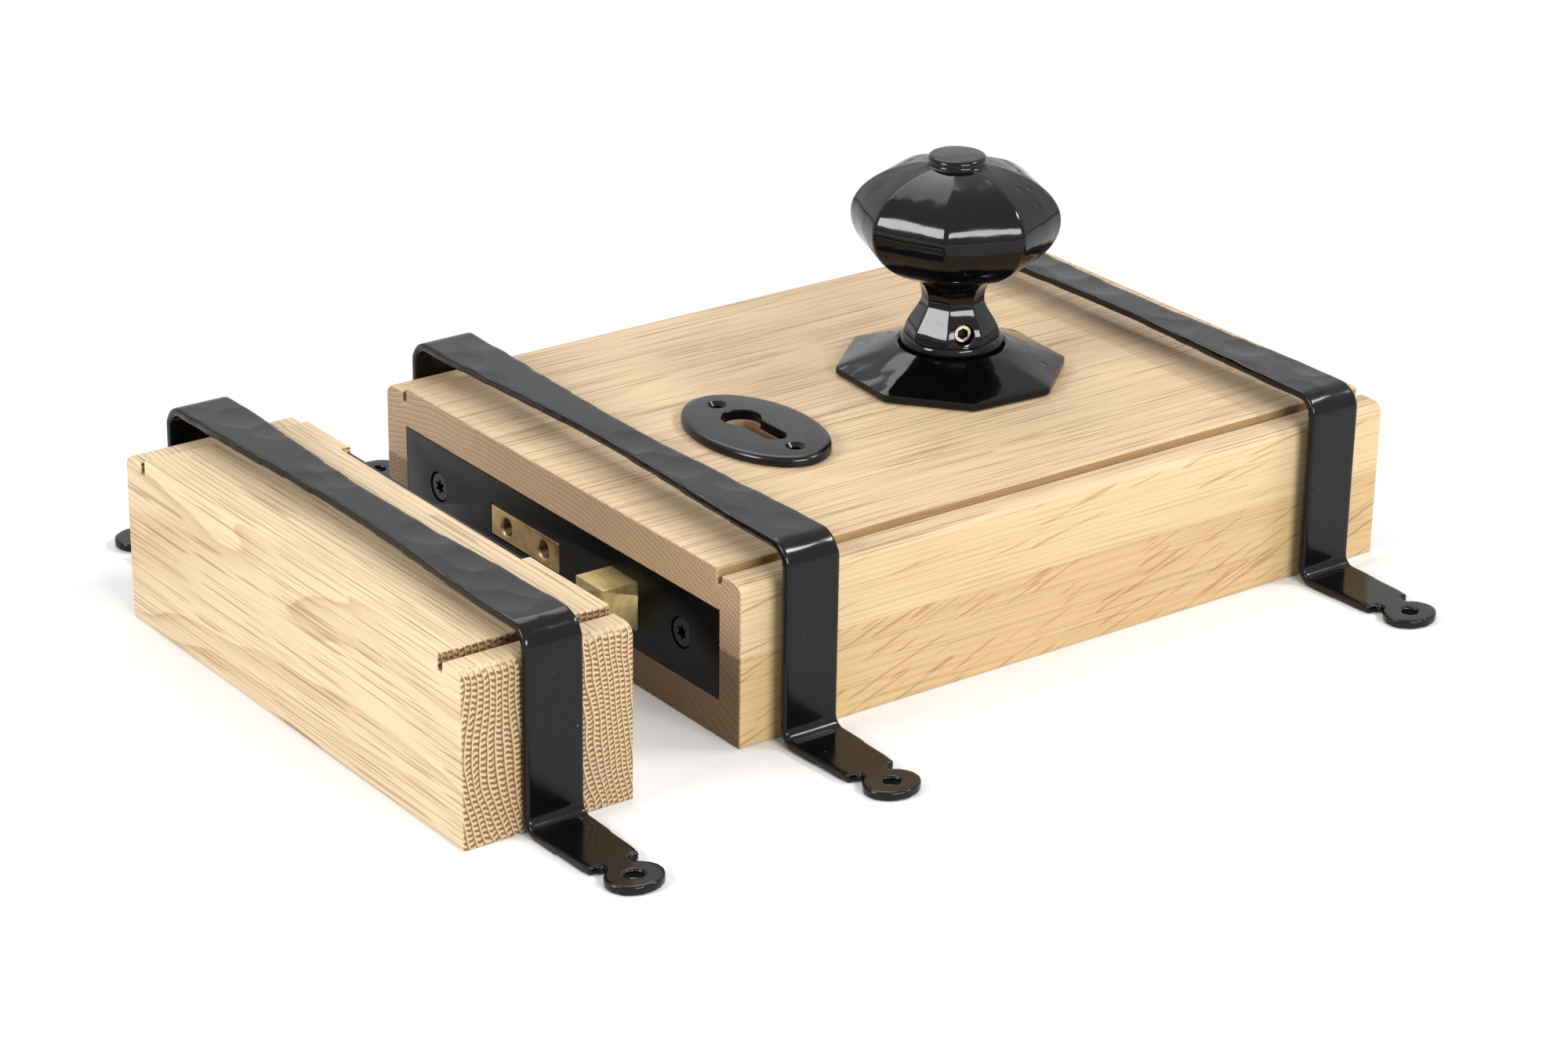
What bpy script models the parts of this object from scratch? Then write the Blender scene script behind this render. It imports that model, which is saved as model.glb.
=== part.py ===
"""Oak-cased rim lock with an octagonal knob, forged straps and a separate oak keep.

The set lies on its back. The door face is the plane z = 0, +Z points into the room, +X runs
from the keep to the lock, and the origin is the centre of the lock case's back.
"""
import math

import bmesh
import bpy
from mathutils import Matrix, Vector

MM = 0.001

# Fits between neighbouring pieces
SEAT_GAP = 0.3 * MM
RUN_GAP = 0.4 * MM
OVERCUT = 2.0 * MM

# Oak case of the lock: two boards, the front one with a raised field between two rails
CASE_LENGTH = 226.0 * MM
CASE_WIDTH = 173.4 * MM
CASE_RAIL_TOP = 46.2 * MM
BOARD_SEAM = 25.6 * MM
FIELD_RISE = 1.6 * MM
RAIL_WIDTH = 8.5 * MM
RAIL_ROUND = 3.2 * MM
QUIRK_WIDTH = 2.0 * MM
QUIRK_DEPTH = 1.9 * MM
ARRIS = 0.8 * MM
BORE_RADIUS = 9.0 * MM

# Oak keep: one block with the same rails and field
KEEP_LENGTH = 50.8 * MM
KEEP_WIDTH = 170.5 * MM
KEEP_RAIL_TOP = 48.4 * MM
KEEP_GAP = 38.2 * MM
KEEP_SHIFT = -8.6 * MM
KEEP_POCKET_DEPTH = 20.0 * MM
KEEP_MARGIN = 1.5 * MM

# Forged straps over the case and the keep
STRAP_WIDTH = 17.2 * MM
STRAP_WAIST = 11.6 * MM
STRAP_THICKNESS = 2.5 * MM
STRAP_BEND = 7.0 * MM
STRAP_HEADROOM = 6.7 * MM
STRAP_PLAY = 3.7 * MM
KEEP_STRAP_HEADROOM = 4.5 * MM
KEEP_STRAP_PLAY = 6.0 * MM
KEEP_STRAP_SETBACK = 25.3 * MM
FRONT_STRAP_SETBACK = 18.6 * MM
REAR_STRAP_BIAS = 3.1 * MM
FOOT_BEND = 3.0 * MM
FOOT_LENGTH = 26.0 * MM
FOOT_END_WIDTH = 15.2 * MM
FOOT_NECK_WIDTH = 8.4 * MM
FOOT_NOTCH = 1.7 * MM
PAD_WIDTH = 16.0 * MM
PAD_LENGTH = 13.6 * MM
PAD_HOLE_RADIUS = 2.3 * MM

# Forend, bolts and the steel lock case behind them
LOCK_MID = 23.3 * MM
FOREND_TAB = 26.3 * MM
FOREND_WIDTH = 25.5 * MM
FOREND_THICKNESS = 3.0 * MM
FOREND_SHIFT = -0.5 * MM
FOREND_SCREW_EDGE = 17.1 * MM
SCREW_HEAD_RADIUS = 4.2 * MM
SCREW_HEAD_DEPTH = 2.4 * MM
SCREW_SHANK_RADIUS = 1.5 * MM
SCREW_LENGTH = 25.0 * MM
LATCH_SHIFT = -33.6 * MM
LATCH_WIDTH = 12.9 * MM
LATCH_HEIGHT = 14.2 * MM
LATCH_REACH = 11.0 * MM
LATCH_BODY = 28.0 * MM
LATCH_NOSE = 4.4 * MM
DEAD_BOLT_SHIFT = 14.8 * MM
DEAD_BOLT_WIDTH = 34.0 * MM
DEAD_BOLT_HEIGHT = 8.9 * MM
DEAD_BOLT_BODY = 45.0 * MM
DEAD_BOLT_THROW = 14.0 * MM
DEAD_BOLT_PIN_PITCH = 18.4 * MM
DEAD_BOLT_PIN_RADIUS = 2.6 * MM
DEAD_BOLT_PIN_DEPTH = 2.0 * MM
LOCK_END_CLEAR = 5.5 * MM
LOCK_SIDE_CLEAR = 8.95 * MM
LOCK_CASE_WALL = 1.5 * MM
LOCK_PLATE = 1.2 * MM
PILLAR_RADIUS = 3.2 * MM
CAP_SCREW_RADIUS = 1.2 * MM
CAP_SCREW_HEAD = 2.4 * MM
CAP_SCREW_LENGTH = 8.0 * MM

# Latch action: follower, tail, spring
FOLLOWER_RADIUS = 10.0 * MM
FOLLOWER_BOSS_RADIUS = 7.0 * MM
FOLLOWER_ARM = 17.0 * MM
FOLLOWER_ARM_RADIUS = 3.0 * MM
FOLLOWER_LEAD = 0.9 * MM
TAIL_THICKNESS = 4.0 * MM
TAIL_ROD_RADIUS = 2.5 * MM
TAIL_BAR_GAP = 9.0 * MM
TAIL_BAR_WIDTH = 6.0 * MM
TAIL_SOCKET = 6.0 * MM
GUIDE_SETBACK = 77.0 * MM
GUIDE_THICKNESS = 4.0 * MM
SPRING_WIRE = 1.0 * MM
SPRING_RADIUS = 4.4 * MM
SPRING_TURNS = 10
SPRING_POINTS_PER_TURN = 9

# Keyhole, knob and the dead bolt action between them: tail, stump, levers
KEYHOLE_BACKSET = 61.5 * MM
CENTRES = 75.9 * MM
KEY_AXIS_SHIFT = -1.7 * MM
KEY_EYE_RADIUS = 5.6 * MM
KEY_SLOT_WIDTH = 6.6 * MM
KEY_SLOT_LENGTH = 19.0 * MM
KEY_TALON_WIDTH = 12.0 * MM
KEY_TALON_DEPTH = 5.5 * MM
BOLT_TAIL_RISE = 8.0 * MM
BOLT_TAIL_WIDTH = 23.0 * MM
BOLT_TAIL_CLEAR = 3.5 * MM
BOLT_TAIL_SOCKET = 8.0 * MM
STUMP_RADIUS = 2.0 * MM
STUMP_REACH = 28.0 * MM
LEVER_PIVOT_REACH = 51.5 * MM
LEVER_PIVOT_SHIFT = 21.3 * MM
LEVER_POST_RADIUS = 3.0 * MM
LEVER_EYE_RADIUS = 6.2 * MM
LEVER_THICKNESS = 2.0 * MM
LEVER_DROP = math.radians(8.0)
LEVER_RIM = 3.0 * MM
LEVER_NOSE_GAP = 7.6 * MM
LEVER_BELLY = 5.5 * MM
LEVER_SPRING_THICKNESS = 0.5 * MM

# Knob, rose and spindle
KNOB_TURN = math.radians(1.3)
BULB_RADIUS = 30.3 * MM
BULB_UPPER = 16.4 * MM
BULB_LOWER = 19.0 * MM
BUTTON_RADIUS = 8.4 * MM
BUTTON_HEIGHT = 2.6 * MM
BUTTON_EDGE = 1.0 * MM
BUTTON_ROUNDNESS = 0.5
NECK_RADIUS = 9.3 * MM
NECK_TOP_RADIUS = 10.4 * MM
NECK_LENGTH = 6.2 * MM
FLARE_RADIUS = 13.9 * MM
FLARE_LENGTH = 11.5 * MM
COLLAR_RADIUS = 14.8 * MM
COLLAR_LENGTH = 3.5 * MM
COLLAR_SINK = 0.8 * MM
SHANK_BASE = 2.4 * MM
ROSE_RADIUS = 33.9 * MM
ROSE_TURN = math.radians(17.7)
ROSE_RIM = 2.6 * MM
ROSE_EDGE = 0.3 * MM
ROSE_HEIGHT = 9.0 * MM
SPINDLE_WIDTH = 8.0 * MM
SPINDLE_GAP = 0.2 * MM
SPINDLE_INSET = 1.0 * MM
SPINDLE_REACH = 12.8 * MM
GRUB_RADIUS = 2.8 * MM
GRUB_RISE = 3.3 * MM
GRUB_TURN = math.radians(248.8)
FACETS = 8
SEGMENTS = 32
COLLAR_STEPS = 3
FLARE_STEPS = 6
BULB_STEPS = 8

# Oval keyhole plate
ESCUTCHEON_WIDTH = 34.0 * MM
ESCUTCHEON_LENGTH = 54.0 * MM
ESCUTCHEON_THICKNESS = 2.8 * MM
ESCUTCHEON_EDGE = 0.8 * MM
ESCUTCHEON_DROP = 6.9 * MM
ESCUTCHEON_HOLE_PITCH = 37.0 * MM
ESCUTCHEON_HOLE_RADIUS = 1.8 * MM
ESCUTCHEON_COUNTERSINK = 1.1 * MM

# Strike in the keep
STRIKE_NEAR_MARGIN = 6.0 * MM
STRIKE_FAR_MARGIN = 9.85 * MM
STRIKE_THICKNESS = 2.0 * MM
STRIKE_BASE = 9.0 * MM
STRIKE_CORNER = 3.0 * MM
STRIKE_MOUTH_GAP = 1.0 * MM
STRIKE_SCREW_LENGTH = 18.0 * MM
STRIKE_SCREW_EDGE = 9.0 * MM
STRIKE_SCREW_RISE = 7.6 * MM

# Places along the lock, from the keep to the rear end
FOREND_X = -CASE_LENGTH / 2
KEEP_FACE = FOREND_X - KEEP_GAP
KEEP_BACK = KEEP_FACE - KEEP_LENGTH
LOCK_START = FOREND_X + FOREND_THICKNESS + SEAT_GAP
LATCH_BACK = FOREND_X + LATCH_BODY
BOLT_BACK = FOREND_X + DEAD_BOLT_BODY
GUIDE_X = FOREND_X + GUIDE_SETBACK
KEY_X = FOREND_X + KEYHOLE_BACKSET
LEVER_PIVOT = Vector((KEY_X + LEVER_PIVOT_REACH, LEVER_PIVOT_SHIFT, 0))
STUMP_X = LEVER_PIVOT.x - STUMP_REACH
KNOB_X = KEY_X + CENTRES
CROSSHEAD_X = KNOB_X + FOLLOWER_ARM_RADIUS + FOLLOWER_LEAD
LOCK_END = CROSSHEAD_X + TAIL_BAR_WIDTH + LATCH_REACH + LOCK_END_CLEAR + LOCK_CASE_WALL

# Places across it
CASE_SIDE = CASE_WIDTH / 2
LOCK_SIDE = LATCH_WIDTH / 2 - LATCH_SHIFT + LOCK_SIDE_CLEAR + LOCK_CASE_WALL
FOREND_HALF = LOCK_SIDE + FOREND_TAB

# Heights over the door face; those of the knob are over the case's top
CASE_TOP = CASE_RAIL_TOP + FIELD_RISE
KEEP_TOP = KEEP_RAIL_TOP + FIELD_RISE
LOCK_FLOOR = LOCK_MID - LATCH_HEIGHT / 2 - RUN_GAP
LOCK_RIM = LOCK_MID + LATCH_HEIGHT / 2 + RUN_GAP
CAP_BASE = LOCK_RIM + SEAT_GAP
CAP_TOP = CAP_BASE + LOCK_PLATE
TAIL_LOW = LOCK_MID - TAIL_THICKNESS / 2
TAIL_HIGH = LOCK_MID + TAIL_THICKNESS / 2
LEVER_BASE = TAIL_HIGH + SEAT_GAP
LEVER_PITCH = LEVER_THICKNESS + SEAT_GAP
ROSE_BASE = CASE_TOP + SEAT_GAP
COLLAR_BASE = ROSE_HEIGHT - COLLAR_SINK
FLARE_BASE = COLLAR_BASE + COLLAR_LENGTH
NECK_MIDDLE = FLARE_BASE + FLARE_LENGTH
NECK_TOP = NECK_MIDDLE + NECK_LENGTH
GRUB_Z = CASE_TOP + FLARE_BASE + GRUB_RISE
SPINDLE_TOP = GRUB_Z + SPINDLE_REACH

SHARP_ANGLE = math.radians(32)


def finish(name, colour, roughness, metallic):
    """Principled material with one colour."""
    material = bpy.data.materials.new(name)
    material.use_nodes = True
    shader = material.node_tree.nodes["Principled BSDF"]
    shader.inputs["Base Color"].default_value = (*colour, 1)
    shader.inputs["Roughness"].default_value = roughness
    shader.inputs["Metallic"].default_value = metallic
    return material


def loft(rings, looped=False):
    """Closed surface through rings of points, capped at both ends or joined end to end."""
    bm = bmesh.new()
    loops = [[bm.verts.new(point) for point in ring] for ring in rings]
    pairs = list(zip(loops, loops[1:]))
    if looped:
        pairs.append((loops[-1], loops[0]))
    for lower, upper in pairs:
        count = len(lower)
        for i in range(count):
            j = (i + 1) % count
            bm.faces.new((lower[i], lower[j], upper[j], upper[i]))
    if not looped:
        bm.faces.new(loops[0])
        bm.faces.new(loops[-1])
    return bm


def prism(outline, axis, low, high):
    """Solid with a flat outline, run along X, Y or Z from low to high."""
    place = {
        "X": lambda u, v, w: (w, u, v),
        "Y": lambda u, v, w: (u, w, v),
        "Z": lambda u, v, w: (u, v, w),
    }[axis]
    return loft([[place(u, v, w) for u, v in outline] for w in (low, high)])


def box(low, high):
    """Rectangular solid between two corners."""
    (x0, y0, z0), (x1, y1, z1) = low, high
    return prism([(x0, y0), (x1, y0), (x1, y1), (x0, y1)], "Z", z0, z1)


def turned(profile, origin, direction, count=20):
    """Solid of revolution from (radius, distance) pairs along a direction."""
    axis = Vector(direction).normalized()
    side = axis.orthogonal().normalized()
    other = axis.cross(side)
    angles = [2 * math.pi * k / count for k in range(count)]
    spokes = [side * math.cos(a) + other * math.sin(a) for a in angles]
    rings = []
    for radius, distance in profile:
        centre = Vector(origin) + axis * distance
        rings.append([centre + spoke * radius for spoke in spokes])
    return loft(rings)


def arc(centre, radius, start, end, steps):
    """Points on an arc, both ends included, angles in degrees."""
    points = []
    for k in range(steps + 1):
        angle = math.radians(start + (end - start) * k / steps)
        points.append((centre[0] + radius * math.cos(angle), centre[1] + radius * math.sin(angle)))
    return points


def add(name, bm, material, carrier=None):
    """Named object from a mesh in world coordinates, hung on its carrier's axis."""
    bmesh.ops.recalc_face_normals(bm, faces=bm.faces)
    mesh = bpy.data.meshes.new(name)
    bm.to_mesh(mesh)
    bm.free()
    mesh.shade_smooth()
    mesh.set_sharp_from_angle(angle=SHARP_ANGLE)
    mesh.materials.append(material)
    piece = bpy.data.objects.new(name, mesh)
    bpy.context.collection.objects.link(piece)
    if carrier:
        mesh.transform(Matrix.Translation(-carrier.location))
        piece.parent = carrier
    return piece


def axis_empty(name, location):
    """Empty that marks the axis of a moving group."""
    empty = bpy.data.objects.new(name, None)
    empty.location = location
    bpy.context.collection.objects.link(empty)
    return empty


def shape(name, bm):
    """Hidden helper solid, used only to cut or to join."""
    bmesh.ops.recalc_face_normals(bm, faces=bm.faces)
    mesh = bpy.data.meshes.new(name)
    bm.to_mesh(mesh)
    bm.free()
    helper = bpy.data.objects.new(name, mesh)
    helper.hide_render = True
    helper.display_type = "WIRE"
    bpy.context.collection.objects.link(helper)
    return helper


def combine(piece, operation, *helpers):
    """Boolean with each helper in turn."""
    for helper in helpers:
        modifier = piece.modifiers.new(helper.name, "BOOLEAN")
        modifier.operation = operation
        modifier.solver = "EXACT"
        modifier.object = helper


def cut(piece, *helpers):
    """Take the helpers out of a piece."""
    combine(piece, "DIFFERENCE", *helpers)


def join(piece, *helpers):
    """Make the helpers part of a piece."""
    combine(piece, "UNION", *helpers)


def screw_profile(length, grow=0.0):
    """Countersunk screw from its face down, grown all round for its hole."""
    head = SCREW_HEAD_RADIUS + grow
    shank = SCREW_SHANK_RADIUS + grow
    return [(head, SEAT_GAP), (head, 2 * SEAT_GAP), (shank, SCREW_HEAD_DEPTH), (shank, length + grow)]


def screw_hole(length):
    """Countersunk hole that a screw sits in, open past the face."""
    head = SCREW_HEAD_RADIUS + SEAT_GAP
    return [(head, -OVERCUT), *screw_profile(length, SEAT_GAP)]


def board_outline(side, bottom, rail_top):
    """Cross-section of a board whose raised field stands between two rails."""
    field = side - RAIL_WIDTH - QUIRK_WIDTH
    quirk = rail_top - QUIRK_DEPTH
    top = rail_top + FIELD_RISE
    right = [(side, bottom)]
    right += arc((side - RAIL_ROUND, rail_top - RAIL_ROUND), RAIL_ROUND, 0, 90, 5)
    right += [(side - RAIL_WIDTH, rail_top), (side - RAIL_WIDTH, quirk), (field, quirk)]
    right += [(field, top - ARRIS), (field - ARRIS, top)]
    return right + [(-u, v) for u, v in reversed(right)]


def keyhole_outline(eye, width, length):
    """Round eye with a slot running to -Y, about the key's axis."""
    half = width / 2
    start = math.degrees(math.asin(half / eye))
    outline = arc((0, 0), eye, start - 90, 270 - start, 18)
    outline += [(-half, -length), (half, -length)]
    return [(KEY_X + u, KEY_AXIS_SHIFT + v) for u, v in outline]


def build_case(oak_front, oak_back):
    """Two oak boards with the mortise for the lock between them."""
    front = add("case_front_board", prism(
        board_outline(CASE_SIDE, BOARD_SEAM + SEAT_GAP, CASE_RAIL_TOP), "X", FOREND_X, -FOREND_X), oak_front)
    back_outline = [
        (-CASE_SIDE, BOARD_SEAM), (-CASE_SIDE, ARRIS), (ARRIS - CASE_SIDE, 0),
        (CASE_SIDE - ARRIS, 0), (CASE_SIDE, ARRIS), (CASE_SIDE, BOARD_SEAM),
    ]
    back = add("case_back_board", prism(back_outline, "X", FOREND_X, -FOREND_X), oak_back)

    half_height = FOREND_HALF + SEAT_GAP
    half_width = FOREND_WIDTH / 2 + SEAT_GAP
    rebate = shape("forend_rebate", box(
        (FOREND_X - OVERCUT, FOREND_SHIFT - half_height, LOCK_MID - half_width),
        (LOCK_START, FOREND_SHIFT + half_height, LOCK_MID + half_width)))
    half_case = LOCK_SIDE + RUN_GAP
    mortise = shape("lock_mortise", box(
        (FOREND_X - OVERCUT, -half_case, LOCK_FLOOR - LOCK_PLATE - RUN_GAP),
        (LOCK_END + RUN_GAP, half_case, CAP_TOP + RUN_GAP)))
    bore = shape("spindle_bore", turned(
        [(BORE_RADIUS, -OVERCUT), (BORE_RADIUS, CASE_TOP + OVERCUT)], (KNOB_X, 0, 0), (0, 0, 1), 24))
    slot = shape("key_slot_in_wood", prism(
        keyhole_outline(KEY_EYE_RADIUS, KEY_SLOT_WIDTH, KEY_SLOT_LENGTH), "Z", -OVERCUT, CASE_TOP + OVERCUT))
    boards = (front, back)
    for board in boards:
        cut(board, rebate, mortise, bore, slot)
    return boards


def build_forend(black, steel, boards):
    """Forend plate with its two screws, which run into the boards."""
    plate = add("forend_plate", box(
        (FOREND_X, FOREND_SHIFT - FOREND_HALF, LOCK_MID - FOREND_WIDTH / 2),
        (FOREND_X + FOREND_THICKNESS, FOREND_SHIFT + FOREND_HALF, LOCK_MID + FOREND_WIDTH / 2)), black)
    for name, shift, width, height in (
            ("latch_mouth", LATCH_SHIFT, LATCH_WIDTH, LATCH_HEIGHT),
            ("dead_bolt_mouth", DEAD_BOLT_SHIFT, DEAD_BOLT_WIDTH, DEAD_BOLT_HEIGHT)):
        cut(plate, shape(name, box(
            (FOREND_X - OVERCUT, shift - width / 2 - RUN_GAP, LOCK_MID - height / 2 - RUN_GAP),
            (LOCK_START + OVERCUT, shift + width / 2 + RUN_GAP, LOCK_MID + height / 2 + RUN_GAP))))
    for number, sign in ((1, -1), (2, 1)):
        place = (FOREND_X, FOREND_SHIFT + sign * (FOREND_HALF - FOREND_SCREW_EDGE), LOCK_MID)
        hole = shape(f"forend_screw_hole_{number}", turned(screw_hole(SCREW_LENGTH), place, (1, 0, 0)))
        for target in (plate, *boards):
            cut(target, hole)
        add(f"forend_screw_{number}", turned(screw_profile(SCREW_LENGTH), place, (1, 0, 0)), steel)


def build_lock_case(steel):
    """Open steel tray with pillars, its cap and the cap's screws."""
    side = LOCK_SIDE
    tray = add("lock_case", box(
        (LOCK_START, -side, LOCK_FLOOR - LOCK_PLATE), (LOCK_END, side, LOCK_RIM)), steel)
    cap = add("lock_cap", box((LOCK_START, -side, CAP_BASE), (LOCK_END, side, CAP_TOP)), steel)
    inside = shape("tray_inside", box(
        (LOCK_START - OVERCUT, LOCK_CASE_WALL - side, LOCK_FLOOR),
        (LOCK_END - LOCK_CASE_WALL, side - LOCK_CASE_WALL, LOCK_RIM + OVERCUT)))
    cut(tray, inside)
    eye = FOLLOWER_BOSS_RADIUS + RUN_GAP
    bearing = shape("follower_bearing", turned(
        [(eye, 0), (eye, CAP_TOP + OVERCUT)], (KNOB_X, 0, 0), (0, 0, 1), 24))
    slot = shape("key_slot_in_steel", prism(
        keyhole_outline(KEY_EYE_RADIUS, KEY_SLOT_WIDTH, KEY_SLOT_LENGTH), "Z", 0, CAP_TOP + OVERCUT))
    inset = LOCK_CASE_WALL + 2 * PILLAR_RADIUS
    places = (
        (LOCK_START + inset, side - inset),
        (LOCK_END - inset, side - inset),
        (GUIDE_X + inset, LATCH_SHIFT + inset),
    )
    head, shank, gap = CAP_SCREW_HEAD, CAP_SCREW_RADIUS, SEAT_GAP
    hole_profile = [
        (head + gap, -OVERCUT), (head + gap, gap),
        (shank + gap, LOCK_PLATE + gap), (shank + gap, CAP_SCREW_LENGTH + gap),
    ]
    profile = [(head, 0), (shank, LOCK_PLATE), (shank, CAP_SCREW_LENGTH)]
    for number, (x, y) in enumerate(places, 1):
        pillar = [(PILLAR_RADIUS, LOCK_FLOOR - LOCK_PLATE / 2), (PILLAR_RADIUS, LOCK_RIM)]
        join(tray, shape(f"pillar_{number}", turned(pillar, (x, y, 0), (0, 0, 1), 12)))
        hole = shape(f"cap_screw_hole_{number}", turned(hole_profile, (x, y, CAP_TOP), (0, 0, -1), 12))
        cut(tray, hole)
        cut(cap, hole)
        add(f"cap_screw_{number}", turned(profile, (x, y, CAP_TOP), (0, 0, -1), 12), steel)
    cut(tray, bearing, slot)
    cut(cap, bearing, slot)


def latch_outline():
    """Side view of the latch head, its nose rounded and bevelled towards the door."""
    tip = FOREND_X - LATCH_REACH
    low = LOCK_MID - LATCH_HEIGHT / 2
    high = LOCK_MID + LATCH_HEIGHT / 2
    nose = arc((tip + LATCH_NOSE, high - LATCH_NOSE), LATCH_NOSE, 180, 225, 5)
    return [(LATCH_BACK, low), (LATCH_BACK, high), (tip, high), *nose, (FOREND_X - RUN_GAP, low)]


def build_latch(brass, steel, carrier):
    """Latch head, rod and crosshead, with the coil spring that pushes them out."""
    half = LATCH_WIDTH / 2
    solid = prism(latch_outline(), "Y", LATCH_SHIFT - half, LATCH_SHIFT + half)
    head = add("latch_bolt", solid, brass, carrier)
    rod_start = LATCH_BACK - TAIL_SOCKET
    hole = TAIL_ROD_RADIUS + SEAT_GAP
    cut(head, shape("latch_rod_hole", turned(
        [(hole, -SEAT_GAP), (hole, TAIL_SOCKET + OVERCUT)], (rod_start, LATCH_SHIFT, LOCK_MID), (1, 0, 0))))
    bar = TAIL_BAR_WIDTH
    bar_start = GUIDE_X + GUIDE_THICKNESS / 2 + TAIL_BAR_GAP
    low, high = LATCH_SHIFT - bar / 2, LATCH_SHIFT + bar / 2
    top = -FOLLOWER_RADIUS - FOLLOWER_LEAD
    outline = [
        (bar_start, low), (CROSSHEAD_X + bar, low), (CROSSHEAD_X + bar, top),
        (CROSSHEAD_X, top), (CROSSHEAD_X, high), (bar_start, high),
    ]
    tail = add("latch_tail", prism(outline, "Z", TAIL_LOW, TAIL_HIGH), steel, carrier)
    rod = [(TAIL_ROD_RADIUS, 0), (TAIL_ROD_RADIUS, bar_start + bar - rod_start)]
    join(tail, shape("latch_rod", turned(rod, (rod_start, LATCH_SHIFT, LOCK_MID), (1, 0, 0), 16)))
    build_spring(steel, carrier)


def build_spring(steel, carrier):
    """Coil spring from the latch head to the guide, one unbroken wire."""
    wire = SPRING_WIRE / 2
    start = LATCH_BACK + SEAT_GAP + wire
    end = GUIDE_X - GUIDE_THICKNESS / 2 - SEAT_GAP - wire
    count = SPRING_TURNS * SPRING_POINTS_PER_TURN
    curve = bpy.data.curves.new("latch_spring", "CURVE")
    curve.dimensions = "3D"
    curve.bevel_depth = wire
    curve.bevel_resolution = 1
    curve.use_fill_caps = True
    spline = curve.splines.new("POLY")
    spline.points.add(count)
    points = []
    for k in range(count + 1):
        angle = 2 * math.pi * k / SPRING_POINTS_PER_TURN
        x = start + (end - start) * k / count
        offset = Vector((0, SPRING_RADIUS * math.cos(angle), SPRING_RADIUS * math.sin(angle)))
        points.append(Vector((x, LATCH_SHIFT, LOCK_MID)) + offset - carrier.location)
        spline.points[k].co = (*points[-1], 1)
    curve.materials.append(steel)
    spring = bpy.data.objects.new("latch_spring", curve)
    bpy.context.collection.objects.link(spring)
    spring.parent = carrier
    apart = SPRING_POINTS_PER_TURN // 2
    least = min(
        (points[i] - points[j]).length - SPRING_WIRE
        for i in range(count + 1) for j in range(i + apart, count + 1))
    print(f"least gap between turns of the latch spring: {least / MM:.2f} mm")


def build_guide(steel):
    """Plate on the tray's floor that guides the latch rod and bears the spring."""
    half = LATCH_WIDTH / 2
    guide = add("latch_guide", box(
        (GUIDE_X - GUIDE_THICKNESS / 2, LATCH_SHIFT - half, LOCK_FLOOR + SEAT_GAP),
        (GUIDE_X + GUIDE_THICKNESS / 2, LATCH_SHIFT + half, LOCK_RIM)), steel)
    hole = TAIL_ROD_RADIUS + RUN_GAP
    reach = GUIDE_THICKNESS / 2 + OVERCUT
    cut(guide, shape("guide_hole", turned(
        [(hole, -reach), (hole, reach)], (GUIDE_X, LATCH_SHIFT, LOCK_MID), (1, 0, 0))))


def spindle_outline(width):
    """Square across the spindle, one flat facing the grub screw."""
    corner = width / math.sqrt(2)
    angles = [GRUB_TURN + math.radians(45 + 90 * k) for k in range(4)]
    return [(KNOB_X + corner * math.cos(a), corner * math.sin(a)) for a in angles]


def build_follower(steel, carrier):
    """Hub with a square hole and one arm that draws the latch's crosshead."""
    neck = math.degrees(math.asin(FOLLOWER_ARM_RADIUS / FOLLOWER_RADIUS))
    outline = arc((KNOB_X, 0), FOLLOWER_RADIUS, neck - 90, 270 - neck, 24)
    outline += arc((KNOB_X, -FOLLOWER_ARM), FOLLOWER_ARM_RADIUS, 180, 360, 8)
    hub = add("follower", prism(outline, "Z", LOCK_FLOOR + RUN_GAP, LOCK_RIM), steel, carrier)
    boss = FOLLOWER_BOSS_RADIUS
    join(hub, shape("follower_boss", turned(
        [(boss, LOCK_FLOOR - LOCK_PLATE), (boss, CAP_TOP)], (KNOB_X, 0, 0), (0, 0, 1), 24)))
    cut(hub, shape("follower_square", prism(
        spindle_outline(SPINDLE_WIDTH + 2 * SPINDLE_GAP), "Z", 0, CAP_TOP + OVERCUT)))


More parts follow.
